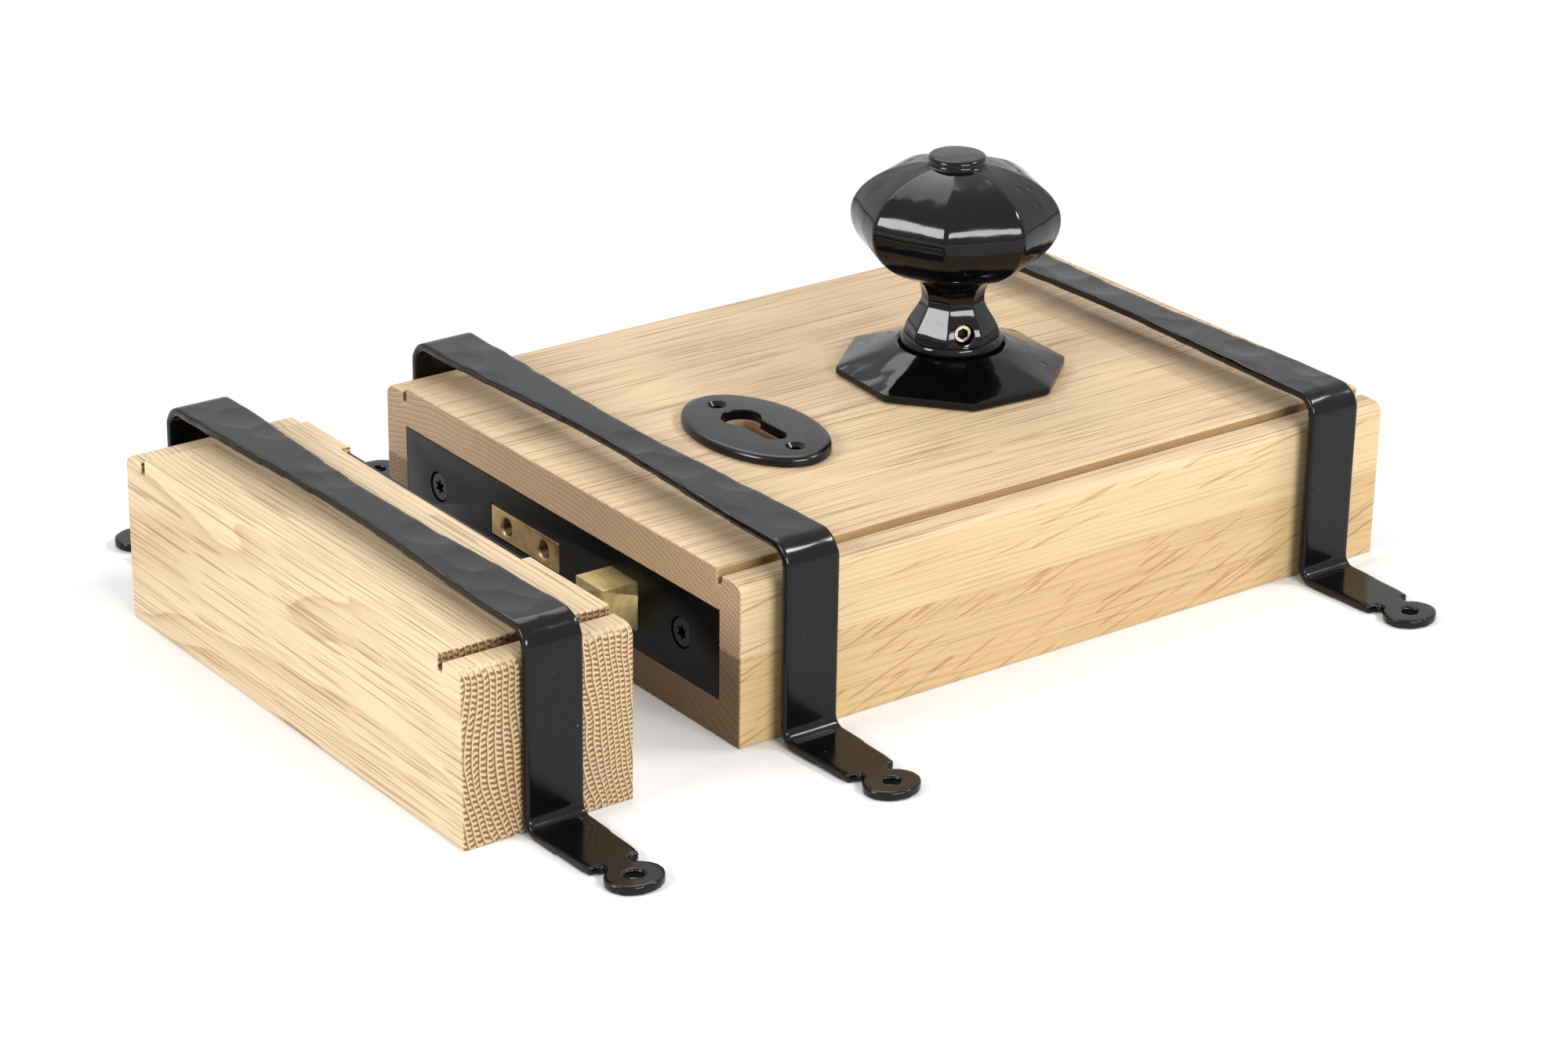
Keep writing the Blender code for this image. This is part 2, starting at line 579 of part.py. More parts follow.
def build_dead_bolt(brass, steel, carrier):
    """Brass head, steel tail with the key's talon, and the stump."""
    half = DEAD_BOLT_WIDTH / 2
    head = add("dead_bolt", box(
        (FOREND_X, DEAD_BOLT_SHIFT - half, LOCK_MID - DEAD_BOLT_HEIGHT / 2),
        (BOLT_BACK, DEAD_BOLT_SHIFT + half, LOCK_MID + DEAD_BOLT_HEIGHT / 2)), brass, carrier)
    low = KEY_AXIS_SHIFT + BOLT_TAIL_RISE
    high = low + BOLT_TAIL_WIDTH
    start = BOLT_BACK - BOLT_TAIL_SOCKET
    cut(head, shape("bolt_tail_socket", box(
        (start - SEAT_GAP, low - SEAT_GAP, TAIL_LOW - SEAT_GAP),
        (BOLT_BACK + OVERCUT, high + SEAT_GAP, TAIL_HIGH + SEAT_GAP))))
    for number, sign in ((1, -1), (2, 1)):
        place = (FOREND_X, DEAD_BOLT_SHIFT + sign * DEAD_BOLT_PIN_PITCH / 2, LOCK_MID)
        pin = DEAD_BOLT_PIN_RADIUS
        cut(head, shape(f"bolt_pin_hole_{number}", turned(
            [(pin, -OVERCUT), (pin, DEAD_BOLT_PIN_DEPTH)], place, (1, 0, 0))))
    end = LEVER_PIVOT.x - LEVER_POST_RADIUS - BOLT_TAIL_CLEAR
    talon = KEY_TALON_WIDTH / 2
    outline = [
        (start, low), (KEY_X - talon, low), (KEY_X - talon, low + KEY_TALON_DEPTH),
        (KEY_X + talon, low + KEY_TALON_DEPTH), (KEY_X + talon, low), (end, low), (end, high), (start, high),
    ]
    tail = add("dead_bolt_tail", prism(outline, "Z", TAIL_LOW, TAIL_HIGH), steel, carrier)
    hole = STUMP_RADIUS + SEAT_GAP
    place = (STUMP_X, LEVER_PIVOT_SHIFT, 0)
    cut(tail, shape("stump_hole", turned(
        [(hole, TAIL_LOW - OVERCUT), (hole, TAIL_HIGH + OVERCUT)], place, (0, 0, 1), 16)))
    top = LEVER_BASE + 2 * LEVER_PITCH
    add("bolt_stump", turned(
        [(STUMP_RADIUS, TAIL_LOW), (STUMP_RADIUS, top)], place, (0, 0, 1), 16), steel, carrier)


def lever_window():
    """Gate for the stump with a pocket at each end of the bolt's throw."""
    clear = STUMP_RADIUS + RUN_GAP
    low, high = LEVER_PIVOT.y - clear, LEVER_PIVOT.y + clear
    pockets = []
    for throw in (0, DEAD_BOLT_THROW):
        reach = STUMP_REACH + throw
        sway = reach * (1 - math.cos(LEVER_DROP))
        start = LEVER_PIVOT.x - reach - clear
        end = LEVER_PIVOT.x - reach + clear + sway
        pockets.append((start, end, high + (reach + clear) * math.sin(LEVER_DROP)))
    (rear_start, rear_end, rear_top), (front_start, front_end, front_top) = pockets
    return [
        (front_start, low), (rear_end, low), (rear_end, rear_top), (rear_start, rear_top),
        (rear_start, high), (front_end, high), (front_end, front_top), (front_start, front_top),
    ]


def lever_outline():
    """Lever from its eye to its nose, with the belly that the key lifts."""
    window = lever_window()
    front = window[0][0]
    top = window[-1][1] + LEVER_RIM
    nose = BOLT_BACK + LEVER_NOSE_GAP
    eye = LEVER_EYE_RADIUS
    x, y = LEVER_PIVOT.x, LEVER_PIVOT.y
    outline = arc((x, y), eye, -90, 90, 10)
    outline += [(front, top), (nose, top - LEVER_RIM), (nose, y)]
    steps = 8
    for k in range(1, steps):
        f = k / steps
        outline.append((nose + (front - nose) * 2 * f, y - eye * f - LEVER_BELLY * math.sin(math.pi * f)))
    outline.append((front * 2 - nose, y - eye))
    return outline


def spring_outline():
    """Leaf spring from the lever's top edge up to the tray's wall."""
    wall = LOCK_SIDE - LOCK_CASE_WALL - SEAT_GAP - LEVER_SPRING_THICKNESS
    edge = LEVER_PIVOT.y + LEVER_EYE_RADIUS + 2 * SEAT_GAP + LEVER_SPRING_THICKNESS
    start = Vector((LEVER_PIVOT.x, edge))
    bend = Vector((LEVER_PIVOT.x - STUMP_REACH / 2, edge + LEVER_RIM))
    end = Vector((STUMP_X - DEAD_BOLT_THROW, wall))
    lower, upper = [], []
    steps = 8
    for k in range(steps + 1):
        f = k / steps
        point = start * (1 - f) ** 2 + bend * (2 * f * (1 - f)) + end * f ** 2
        slope = (bend - start) * (1 - f) + (end - bend) * f
        normal = Vector((-slope.y, slope.x)).normalized() * (LEVER_SPRING_THICKNESS / 2)
        lower.append(tuple(point + normal))
        upper.append(tuple(point - normal))
    return lower + upper[::-1]


def build_levers(steel, brass, carrier):
    """Two levers on their post, each with a leaf spring."""
    post = LEVER_POST_RADIUS
    place = (LEVER_PIVOT.x, LEVER_PIVOT.y, 0)
    add("lever_post", turned(
        [(post, LOCK_FLOOR + SEAT_GAP), (post, LOCK_RIM)], place, (0, 0, 1), 20), steel)
    low, high = LOCK_FLOOR, CAP_BASE
    hole = post + SEAT_GAP
    eye = shape("lever_eye", turned([(hole, low), (hole, high)], place, (0, 0, 1), 20))
    gate = shape("lever_gate", prism(lever_window(), "Z", low, high))
    for number in (1, 2):
        base = LEVER_BASE + (number - 1) * LEVER_PITCH
        top = base + LEVER_THICKNESS
        lever = add(f"lever_{number}", prism(lever_outline(), "Z", base, top), brass, carrier)
        cut(lever, eye, gate)
        add(f"lever_spring_{number}", prism(spring_outline(), "Z", base, top), steel, carrier)


def octagon_radius(corner, angle, turn):
    """Distance to an octagon's side at an angle, for a given corner radius."""
    step = 2 * math.pi / FACETS
    across = (angle - turn) % step - step / 2
    return corner * math.cos(step / 2) / math.cos(across)


def facet_ring(corner, height, roundness, turn):
    """Ring of points between an octagon and a circle about the knob's axis."""
    ring = []
    for k in range(SEGMENTS):
        angle = turn + 2 * math.pi * k / SEGMENTS
        radius = octagon_radius(corner, angle, turn) * (1 - roundness) + corner * roundness
        ring.append((KNOB_X + radius * math.cos(angle), radius * math.sin(angle), CASE_TOP + height))
    return ring


def knob_profile():
    """Corner radius, height over the case and roundness, from the shank up to the button."""
    shank = COLLAR_RADIUS - SEAT_GAP
    profile = [(shank, SHANK_BASE, 1), (shank, COLLAR_BASE - SEAT_GAP, 1)]
    for k in range(COLLAR_STEPS + 1):
        f = k / COLLAR_STEPS
        bulge = COLLAR_RADIUS - (COLLAR_RADIUS - FLARE_RADIUS) * (2 * f - 1) ** 2
        profile.append((bulge, COLLAR_BASE + COLLAR_LENGTH * f, 1))
    for k in range(1, FLARE_STEPS + 1):
        f = 1 - k / FLARE_STEPS
        flare = NECK_RADIUS + (FLARE_RADIUS - NECK_RADIUS) * f ** 2
        profile.append((flare, NECK_MIDDLE - FLARE_LENGTH * f, 0))
    profile.append(((NECK_RADIUS + NECK_TOP_RADIUS) / 2, (NECK_MIDDLE + NECK_TOP) / 2, 0))
    low = math.acos(NECK_TOP_RADIUS / BULB_RADIUS)
    high = math.acos(BUTTON_RADIUS / BULB_RADIUS)
    middle = NECK_TOP + BULB_LOWER * math.sin(low)
    for k in range(-BULB_STEPS, BULB_STEPS + 1):
        angle = k / BULB_STEPS * (low if k < 0 else high)
        depth = BULB_LOWER if k < 0 else BULB_UPPER
        profile.append((BULB_RADIUS * math.cos(angle), middle + depth * math.sin(angle), 0))
    button = profile[-1][1] + BUTTON_HEIGHT
    profile.append((BUTTON_RADIUS, button - BUTTON_EDGE, BUTTON_ROUNDNESS))
    profile.append((BUTTON_RADIUS - BUTTON_EDGE, button, BUTTON_ROUNDNESS))
    return profile


def build_knob(black, steel, carrier):
    """Octagonal knob on its spindle, held by a grub screw."""
    knob = add("knob", loft([facet_ring(*ring, KNOB_TURN) for ring in knob_profile()]), black, carrier)
    cut(knob, shape("knob_square", prism(
        spindle_outline(SPINDLE_WIDTH + 2 * SPINDLE_GAP), "Z", CASE_TOP, SPINDLE_TOP + SEAT_GAP)))
    out = Vector((math.cos(GRUB_TURN), math.sin(GRUB_TURN), 0))
    seat = Vector((KNOB_X, 0, GRUB_Z))
    hole = GRUB_RADIUS + SEAT_GAP
    cut(knob, shape("grub_hole", turned([(hole, 0), (hole, COLLAR_RADIUS + OVERCUT)], seat, out)))
    grub = [(GRUB_RADIUS, SPINDLE_WIDTH / 2 + SEAT_GAP), (GRUB_RADIUS, NECK_RADIUS)]
    add("grub_screw", turned(grub, seat, out, 16), steel, carrier)
    add("spindle", prism(spindle_outline(SPINDLE_WIDTH), "Z", SPINDLE_INSET, SPINDLE_TOP), steel, carrier)


def build_rose(black):
    """Octagonal pyramid rose with a round hole for the knob's collar."""
    hole = COLLAR_RADIUS + RUN_GAP
    rim = ROSE_RADIUS
    lip = hole + ARRIS
    base = ROSE_BASE - CASE_TOP
    profile = [
        (hole, base, 1), (rim, base, 0),
        (rim, base + ROSE_RIM - ROSE_EDGE, 0), (rim - ROSE_EDGE, base + ROSE_RIM, 0),
        (lip, ROSE_HEIGHT, 1), (hole, ROSE_HEIGHT - ROSE_EDGE, 1),
    ]
    add("rose", loft([facet_ring(*ring, ROSE_TURN) for ring in profile], looped=True), black)


def build_escutcheon(black):
    """Oval keyhole plate with a softened edge and two screw holes."""
    count = 40
    angles = [2 * math.pi * k / count for k in range(count)]
    middle = KEY_AXIS_SHIFT - ESCUTCHEON_DROP
    top = ROSE_BASE + ESCUTCHEON_THICKNESS
    rings = []
    for inset, z in ((0, ROSE_BASE), (0, top - ESCUTCHEON_EDGE), (ESCUTCHEON_EDGE, top)):
        a = ESCUTCHEON_WIDTH / 2 - inset
        b = ESCUTCHEON_LENGTH / 2 - inset
        rings.append([(KEY_X + a * math.cos(t), middle + b * math.sin(t), z) for t in angles])
    plate = add("escutcheon", loft(rings), black)
    cut(plate, shape("key_slot_in_plate", prism(
        keyhole_outline(KEY_EYE_RADIUS, KEY_SLOT_WIDTH, KEY_SLOT_LENGTH), "Z", CASE_RAIL_TOP, top + OVERCUT)))
    hole, sink = ESCUTCHEON_HOLE_RADIUS, ESCUTCHEON_COUNTERSINK
    profile = [(hole, CASE_RAIL_TOP), (hole, top - sink), (hole + sink, top), (hole + sink, top + OVERCUT)]
    for number, sign in ((1, -1), (2, 1)):
        place = (KEY_X, middle + sign * ESCUTCHEON_HOLE_PITCH / 2, 0)
        cut(plate, shape(f"plate_hole_{number}", turned(profile, place, (0, 0, 1), 16)))


def foot_outline():
    """Half-width and distance from the leg: tapering foot, notched neck and rounded pad."""
    a, b = PAD_WIDTH / 2, PAD_LENGTH / 2
    neck = FOOT_NECK_WIDTH / 2
    middle = FOOT_LENGTH + FOOT_NOTCH + b
    left = [(-FOOT_END_WIDTH / 2, FOOT_LENGTH), (-neck, FOOT_LENGTH)]
    opening = math.asin(neck / a)
    steps = 18
    pad = []
    for k in range(steps + 1):
        angle = opening + (2 * math.pi - 2 * opening) * k / steps
        pad.append((-a * math.sin(angle), middle - b * math.cos(angle)))
    right = [(neck, FOOT_LENGTH), (FOOT_END_WIDTH / 2, FOOT_LENGTH)]
    return left + pad + right


def strap_stations(near, far, height):
    """Outer point, inner point and half-width along the strap, from foot to foot."""
    thick = STRAP_THICKNESS
    half = STRAP_WIDTH / 2
    side = []
    foot = (near - FOOT_BEND, thick + FOOT_BEND)
    side += list(zip(arc(foot, FOOT_BEND, -90, 0, 5), arc(foot, FOOT_BEND + thick, -90, 0, 5)))
    bend = (near + STRAP_BEND, height - STRAP_BEND)
    side += list(zip(arc(bend, STRAP_BEND, 180, 90, 6), arc(bend, STRAP_BEND - thick, 180, 90, 6)))
    stations = [(outer, inner, half) for outer, inner in side]
    start, end = near + STRAP_BEND, far - STRAP_BEND
    steps = 24
    for k in range(1, steps):
        f = k / steps
        y = start + (end - start) * f
        narrow = (STRAP_WIDTH - STRAP_WAIST) / 2 * math.sin(math.pi * f) ** 2
        stations.append(((y, height), (y, height - thick), half - narrow))
    for outer, inner in reversed(side):
        stations.append(((near + far - outer[0], outer[1]), (near + far - inner[0], inner[1]), half))
    return stations


def build_strap(name, x, near, far, height, black, carrier=None):
    """Forged strap: two feet with pads, two legs and a waisted top."""
    bm = bmesh.new()
    loops = []
    for outer, inner, half in strap_stations(near, far, height):
        corners = ((x - half, *outer), (x + half, *outer), (x + half, *inner), (x - half, *inner))
        loops.append([bm.verts.new(corner) for corner in corners])
    for first, second in zip(loops, loops[1:]):
        for i in range(4):
            j = (i + 1) % 4
            bm.faces.new((first[i], first[j], second[j], second[i]))
    for root, leg, sign in ((loops[0], near, -1), (loops[-1], far, 1)):
        upper, lower = [root[0]], [root[3]]
        for across, along in foot_outline():
            upper.append(bm.verts.new((x + across, leg + sign * along, STRAP_THICKNESS)))
            lower.append(bm.verts.new((x + across, leg + sign * along, 0)))
        upper.append(root[1])
        lower.append(root[2])
        bm.faces.new(upper)
        bm.faces.new(lower)
        for i in range(len(upper) - 1):
            bm.faces.new((upper[i], upper[i + 1], lower[i + 1], lower[i]))
    strap = add(name, bm, black, carrier)
    reach = FOOT_LENGTH + FOOT_NOTCH + PAD_LENGTH / 2
    hole = PAD_HOLE_RADIUS
    for end, y in (("near", near - reach), ("far", far + reach)):
        cut(strap, shape(f"{name}_{end}_hole", turned(
            [(hole, -OVERCUT), (hole, STRAP_THICKNESS + OVERCUT)], (x, y, 0), (0, 0, 1), 16)))


def build_lock_straps(black):
    """Two straps over the lock case, each seated against the case's far side."""
    far = CASE_SIDE + SEAT_GAP + STRAP_THICKNESS
    near = -CASE_SIDE - STRAP_PLAY - STRAP_THICKNESS
    height = CASE_TOP + STRAP_HEADROOM + STRAP_THICKNESS
    between_rose_and_end = (KNOB_X + ROSE_RADIUS - FOREND_X) / 2
    build_strap("lock_strap_front", FOREND_X + FRONT_STRAP_SETBACK, near, far, height, black)
    build_strap("lock_strap_rear", between_rose_and_end + REAR_STRAP_BIAS, near, far, height, black)


def build_keep(oak, black, steel, carrier):
    """Oak keep block with its strike, and the strap that is seated against its near side."""
    side = KEEP_WIDTH / 2
    outline = [(u + KEEP_SHIFT, v) for u, v in board_outline(side, 0, KEEP_RAIL_TOP)]
    block = add("keep_block", prism(outline, "X", KEEP_BACK, KEEP_FACE), oak, carrier)
    low = LATCH_SHIFT - LATCH_WIDTH / 2 - STRIKE_MOUTH_GAP - STRIKE_NEAR_MARGIN
    high = DEAD_BOLT_SHIFT + DEAD_BOLT_WIDTH / 2 + STRIKE_MOUTH_GAP + STRIKE_FAR_MARGIN
    back = KEEP_FACE - STRIKE_THICKNESS
    cut(block, shape("strike_recess", box(
        (back - SEAT_GAP, low - SEAT_GAP, STRIKE_BASE - SEAT_GAP),
        (KEEP_FACE + OVERCUT, high + SEAT_GAP, KEEP_TOP + OVERCUT))))
    top = KEEP_TOP - SEAT_GAP
    round_top = STRIKE_CORNER
    outline = [(low, STRIKE_BASE), (high, STRIKE_BASE)]
    outline += arc((high - round_top, top - round_top), round_top, 0, 90, 4)
    outline += arc((low + round_top, top - round_top), round_top, 90, 180, 4)
    strike = add("keep_strike", prism(outline, "X", back, KEEP_FACE), black, carrier)
    bolts = (
        ("latch", LATCH_SHIFT, LATCH_WIDTH, LATCH_HEIGHT),
        ("dead_bolt", DEAD_BOLT_SHIFT, DEAD_BOLT_WIDTH, DEAD_BOLT_HEIGHT),
    )
    for name, shift, width, height in bolts:
        for target, label, gap, depth in (
                (strike, "strike", STRIKE_MOUTH_GAP, STRIKE_THICKNESS + OVERCUT),
                (block, "pocket", STRIKE_MOUTH_GAP + KEEP_MARGIN, KEEP_POCKET_DEPTH)):
            half_width = width / 2 + gap
            half_height = height / 2 + gap
            cut(target, shape(f"{name}_{label}", box(
                (KEEP_FACE - depth, shift - half_width, LOCK_MID - half_height),
                (KEEP_FACE + OVERCUT, shift + half_width, LOCK_MID + half_height))))
    screw_z = LOCK_MID + LATCH_HEIGHT / 2 + STRIKE_MOUTH_GAP + STRIKE_SCREW_RISE
    inwards = (-1, 0, 0)
    for number, y in ((1, low + STRIKE_SCREW_EDGE), (2, high - STRIKE_SCREW_EDGE)):
        place = (KEEP_FACE, y, screw_z)
        hole = shape(f"strike_screw_hole_{number}", turned(screw_hole(STRIKE_SCREW_LENGTH), place, inwards))
        cut(strike, hole)
        cut(block, hole)
        screw = turned(screw_profile(STRIKE_SCREW_LENGTH), place, inwards)
        add(f"strike_screw_{number}", screw, steel, carrier)
    near = KEEP_SHIFT - side - SEAT_GAP - STRAP_THICKNESS
    far = KEEP_SHIFT + side + KEEP_STRAP_PLAY + STRAP_THICKNESS
    height = KEEP_TOP + KEEP_STRAP_HEADROOM + STRAP_THICKNESS
    build_strap("keep_strap", KEEP_FACE - KEEP_STRAP_SETBACK, near, far, height, black, carrier)


def main():
    """Build the whole set."""
    for old in list(bpy.data.objects):
        bpy.data.objects.remove(old)
    oak_front = finish("oak_pale", (0.72, 0.52, 0.30), 0.6, 0)
    oak_back = finish("oak_dark", (0.60, 0.42, 0.22), 0.6, 0)
    oak_keep = finish("oak_keep", (0.70, 0.50, 0.29), 0.6, 0)
    black = finish("black_iron", (0.015, 0.015, 0.017), 0.3, 0)
    brass = finish("brass", (0.55, 0.40, 0.16), 0.35, 1)
    steel = finish("steel", (0.45, 0.45, 0.46), 0.4, 1)

    knob_axis = axis_empty("knob_axis", (KNOB_X, 0, 0))
    latch_axis = axis_empty("latch_axis", (FOREND_X, LATCH_SHIFT, LOCK_MID))
    bolt_axis = axis_empty("dead_bolt_axis", (FOREND_X, DEAD_BOLT_SHIFT, LOCK_MID))
    lever_axis = axis_empty("lever_axis", LEVER_PIVOT)
    keep_axis = axis_empty("keep_axis", (KEEP_FACE, KEEP_SHIFT, 0))

    boards = build_case(oak_front, oak_back)
    build_forend(black, steel, boards)
    build_lock_case(steel)
    build_guide(steel)
    build_latch(brass, steel, latch_axis)
    build_follower(steel, knob_axis)
    build_dead_bolt(brass, steel, bolt_axis)
    build_levers(steel, brass, lever_axis)
    build_knob(black, steel, knob_axis)
    build_rose(black)
    build_escutcheon(black)
    build_lock_straps(black)
    build_keep(oak_keep, black, steel, keep_axis)


main()
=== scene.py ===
"""Finished looks of an oak-cased rim lock and its separate oak keep.

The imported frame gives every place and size. Each class dresses one sub-assembly with finer
meshes and procedural finishes. Lengths are metres, the case lies on its back, +Z is up.
"""
from __future__ import annotations

import logging
import math
from dataclasses import dataclass, replace
from enum import Enum
from typing import Callable, Sequence, Union

import bmesh
import bpy
from mathutils import Matrix, Quaternion, Vector, noise

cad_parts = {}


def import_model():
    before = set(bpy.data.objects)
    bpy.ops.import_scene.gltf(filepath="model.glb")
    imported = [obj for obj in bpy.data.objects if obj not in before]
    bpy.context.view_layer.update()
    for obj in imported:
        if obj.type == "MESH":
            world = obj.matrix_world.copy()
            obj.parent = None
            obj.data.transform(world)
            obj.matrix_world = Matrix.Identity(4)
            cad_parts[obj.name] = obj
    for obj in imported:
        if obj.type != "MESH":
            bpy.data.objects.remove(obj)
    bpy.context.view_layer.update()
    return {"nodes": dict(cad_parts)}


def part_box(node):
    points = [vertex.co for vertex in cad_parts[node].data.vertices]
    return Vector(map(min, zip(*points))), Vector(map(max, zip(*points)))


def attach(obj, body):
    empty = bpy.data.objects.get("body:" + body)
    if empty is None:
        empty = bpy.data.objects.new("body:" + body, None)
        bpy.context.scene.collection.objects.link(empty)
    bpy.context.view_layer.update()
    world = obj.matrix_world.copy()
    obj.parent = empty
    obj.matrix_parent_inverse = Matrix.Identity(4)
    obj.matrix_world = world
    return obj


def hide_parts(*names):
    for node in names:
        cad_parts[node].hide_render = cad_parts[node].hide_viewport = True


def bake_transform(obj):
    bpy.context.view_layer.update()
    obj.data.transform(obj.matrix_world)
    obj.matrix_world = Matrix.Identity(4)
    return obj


LOG = logging.getLogger("rim_lock")
MM = 0.001
QUARTER = math.pi / 2.0
PAST = 10.0 * MM      # how far a cutter runs out past the face it cuts
MERGE = 1e-7          # points closer than this are one
WHITE = (1.0, 1.0, 1.0)
Point = tuple[float, float]
Colour = tuple[float, float, float]
Solid = bmesh.types.BMesh
Value = Union["Wire", float]


class Body(Enum):
    """Moving bodies of the frame that a piece can ride on."""

    LOCK = "lock"
    KNOB = "knob"
    LATCH = "latch"
    DEAD_BOLT = "dead_bolt"
    KEEP = "keep"


class Grain(Enum):
    """Axis that a board's fibres follow."""

    ALONG_X = 0
    ALONG_Y = 1


class Wire:
    """Value in a node tree. Arithmetic on wires adds math nodes to the tree."""

    KINDS = {"VALUE": "Float", "VECTOR": "Vector", "RGBA": "Color", "GEOMETRY": "Geometry"}

    def __init__(self, graph: Graph, socket: bpy.types.NodeSocket) -> None:
        """Keep an output socket and the graph that it belongs to."""
        self.graph, self.socket = graph, socket

    @property
    def kind(self) -> str:
        """Kind of group socket that can carry the value."""
        return self.KINDS[self.socket.type]

    def __add__(self, other: Value) -> Wire:
        """Sum."""
        return self.graph.math("ADD", self, other)

    def __sub__(self, other: Value) -> Wire:
        """Difference."""
        return self.graph.math("SUBTRACT", self, other)

    def __rsub__(self, other: float) -> Wire:
        """Difference from a number."""
        return self.graph.math("SUBTRACT", other, self)

    def __mul__(self, other: Value) -> Wire:
        """Product."""
        return self.graph.math("MULTIPLY", self, other)

    def __truediv__(self, other: Value) -> Wire:
        """Quotient."""
        return self.graph.math("DIVIDE", self, other)

    def __rtruediv__(self, other: float) -> Wire:
        """Quotient of a number."""
        return self.graph.math("DIVIDE", other, self)

    def __pow__(self, other: float) -> Wire:
        """Power."""
        return self.graph.math("POWER", self, other)

    def __or__(self, other: Value) -> Wire:
        """The larger of two values."""
        return self.graph.math("MAXIMUM", self, other)

    def __abs__(self) -> Wire:
        """Value without its sign."""
        return self.graph.math("ABSOLUTE", self)

    def step(self, low: Value, high: Value, to_low: float = 0.0, to_high: float = 1.0) -> Wire:
        """Smooth step from low to high.

        Args:
            low: value where the step starts.
            high: value where it ends.
            to_low: result below the step.
            to_high: result above it.

        Returns:
            The stepped value.
        """
        sockets = {"Value": self, "From Min": low, "From Max": high, "To Min": to_low, "To Max": to_high}
        return self.graph.wire("ShaderNodeMapRange", sockets, interpolation_type="SMOOTHSTEP")


class Graph:
    """Short way to write a node tree."""

    def __init__(self, tree: bpy.types.NodeTree) -> None:
        """Keep the tree to write in."""
        self.tree = tree

    def node(self, kind: str, inputs: dict | None = None, **settings: object) -> bpy.types.Node:
        """Add one node.

        Args:
            kind: Blender's name of the node type.
            inputs: wires or plain values for its inputs, by name or number.
            settings: properties set on the node itself.

        Returns:
            The new node.
        """
        made = self.tree.nodes.new(kind)
        for name, value in settings.items():
            setattr(made, name, value)
        for key, value in (inputs or {}).items():
            self.feed(made.inputs[key], value)
        return made

    def wire(self, kind: str, inputs: dict | None = None, out: int | str = 0, **settings: object) -> Wire:
        """Add one node, as node() does, and take the output that out names."""
        return Wire(self, self.node(kind, inputs, **settings).outputs[out])

    def wires(self, kind: str, inputs: dict | None = None, **settings: object) -> dict[str, Wire]:
        """Add one node, as node() does, and take all its outputs by name."""
        return {socket.name: Wire(self, socket) for socket in self.node(kind, inputs, **settings).outputs}

    def feed(self, socket: bpy.types.NodeSocket, value: object) -> None:
        """Link a wire into an input, or set the input to a plain value.

        Args:
            socket: the input.
            value: a wire, a number, a vector, a name, or a colour without its alpha.
        """
        if isinstance(value, Wire):
            self.tree.links.new(value.socket, socket)
        else:
            socket.default_value = (*value, 1.0) if socket.type == "RGBA" else value

    def math(self, operation: str, first: Value, second: Value = 0.0, clamp: bool = False) -> Wire:
        """Scalar arithmetic on one or two values."""
        return self.wire("ShaderNodeMath", {0: first, 1: second}, operation=operation, use_clamp=clamp)

    def mix(self, factor: Value, first: object, second: object, blend: str = "MIX") -> Wire:
        """Mix two colours."""
        return self.wire("ShaderNodeMix", {0: factor, 6: first, 7: second}, 2, data_type="RGBA",
                         blend_type=blend)

    def tinted(self, colour: Wire, tint: object) -> Wire:
        """Colour multiplied by another."""
        return self.mix(1.0, colour, tint, "MULTIPLY")

    def mapped(self, vector: Wire, **inputs: Sequence[float]) -> Wire:
        """Coordinates through a Mapping node, with its inputs given by name."""
        return self.wire("ShaderNodeMapping", {"Vector": vector, **inputs})

    def noise(self, vector: Wire, detail: float, roughness: float = 0.5, scale: float = 1.0) -> Wire:
        """Noise value round 0.5."""
        sockets = {"Vector": vector, "Scale": scale, "Detail": detail, "Roughness": roughness}
        return self.wire("ShaderNodeTexNoise", sockets, "Fac")

    def parts(self, vector: Wire) -> list[Wire]:
        """X, Y and Z of a vector."""
        return list(self.wires("ShaderNodeSeparateXYZ", {0: vector}).values())

    def joined(self, x: Value, y: Value, z: Value) -> Wire:
        """Vector made of three values."""
        return self.wire("ShaderNodeCombineXYZ", {0: x, 1: y, 2: z})

    def length(self, vector: Wire) -> Wire:
        """Length of a vector."""
        return self.wire("ShaderNodeVectorMath", {0: vector}, "Value", operation="LENGTH")

    def bump(self, height: Wire, strength: float, distance: float) -> Wire:
        """Normal tilted by a height."""
        return self.wire("ShaderNodeBump", {"Height": height, "Strength": strength, "Distance": distance})

    def effect(self, name: str, draw: Drawing, inputs: dict) -> dict[str, Wire]:
        """Place a shared shader group.

        Args:
            name: name of the group.
            draw: function that draws it on its first use.
            inputs: wires, numbers or colours for its inputs, by name.

        Returns:
            Its outputs by name.
        """
        kinds = {label: "Color" if isinstance(value, tuple) else getattr(value, "kind", "Float")
                 for label, value in inputs.items()}
        return self.wires("ShaderNodeGroup", inputs, node_tree=grouped(name, "Shader", kinds, draw))


Drawing = Callable[[Graph, dict[str, Wire]], dict[str, Wire]]


def grouped(name: str, family: str, kinds: dict[str, str], draw: Drawing) -> bpy.types.NodeTree:
    """Build a node group, or find it again.

    Args:
        name: name of the group.
        family: "Shader" or "Geometry".
        kinds: kind of socket by input name.
        draw: function from the group's graph and inputs to its outputs by name.

    Returns:
        The group.
    """
    tree = bpy.data.node_groups.get(name)
    if tree is None:
        tree = bpy.data.node_groups.new(name, family + "NodeTree")
        for label, kind in kinds.items():
            tree.interface.new_socket(label, in_out="INPUT", socket_type="NodeSocket" + kind)
        graph = Graph(tree)
        made = draw(graph, graph.wires("NodeGroupInput"))
        for label, wire in made.items():
            tree.interface.new_socket(label, in_out="OUTPUT", socket_type="NodeSocket" + wire.kind)
        graph.node("NodeGroupOutput", made)
    return tree


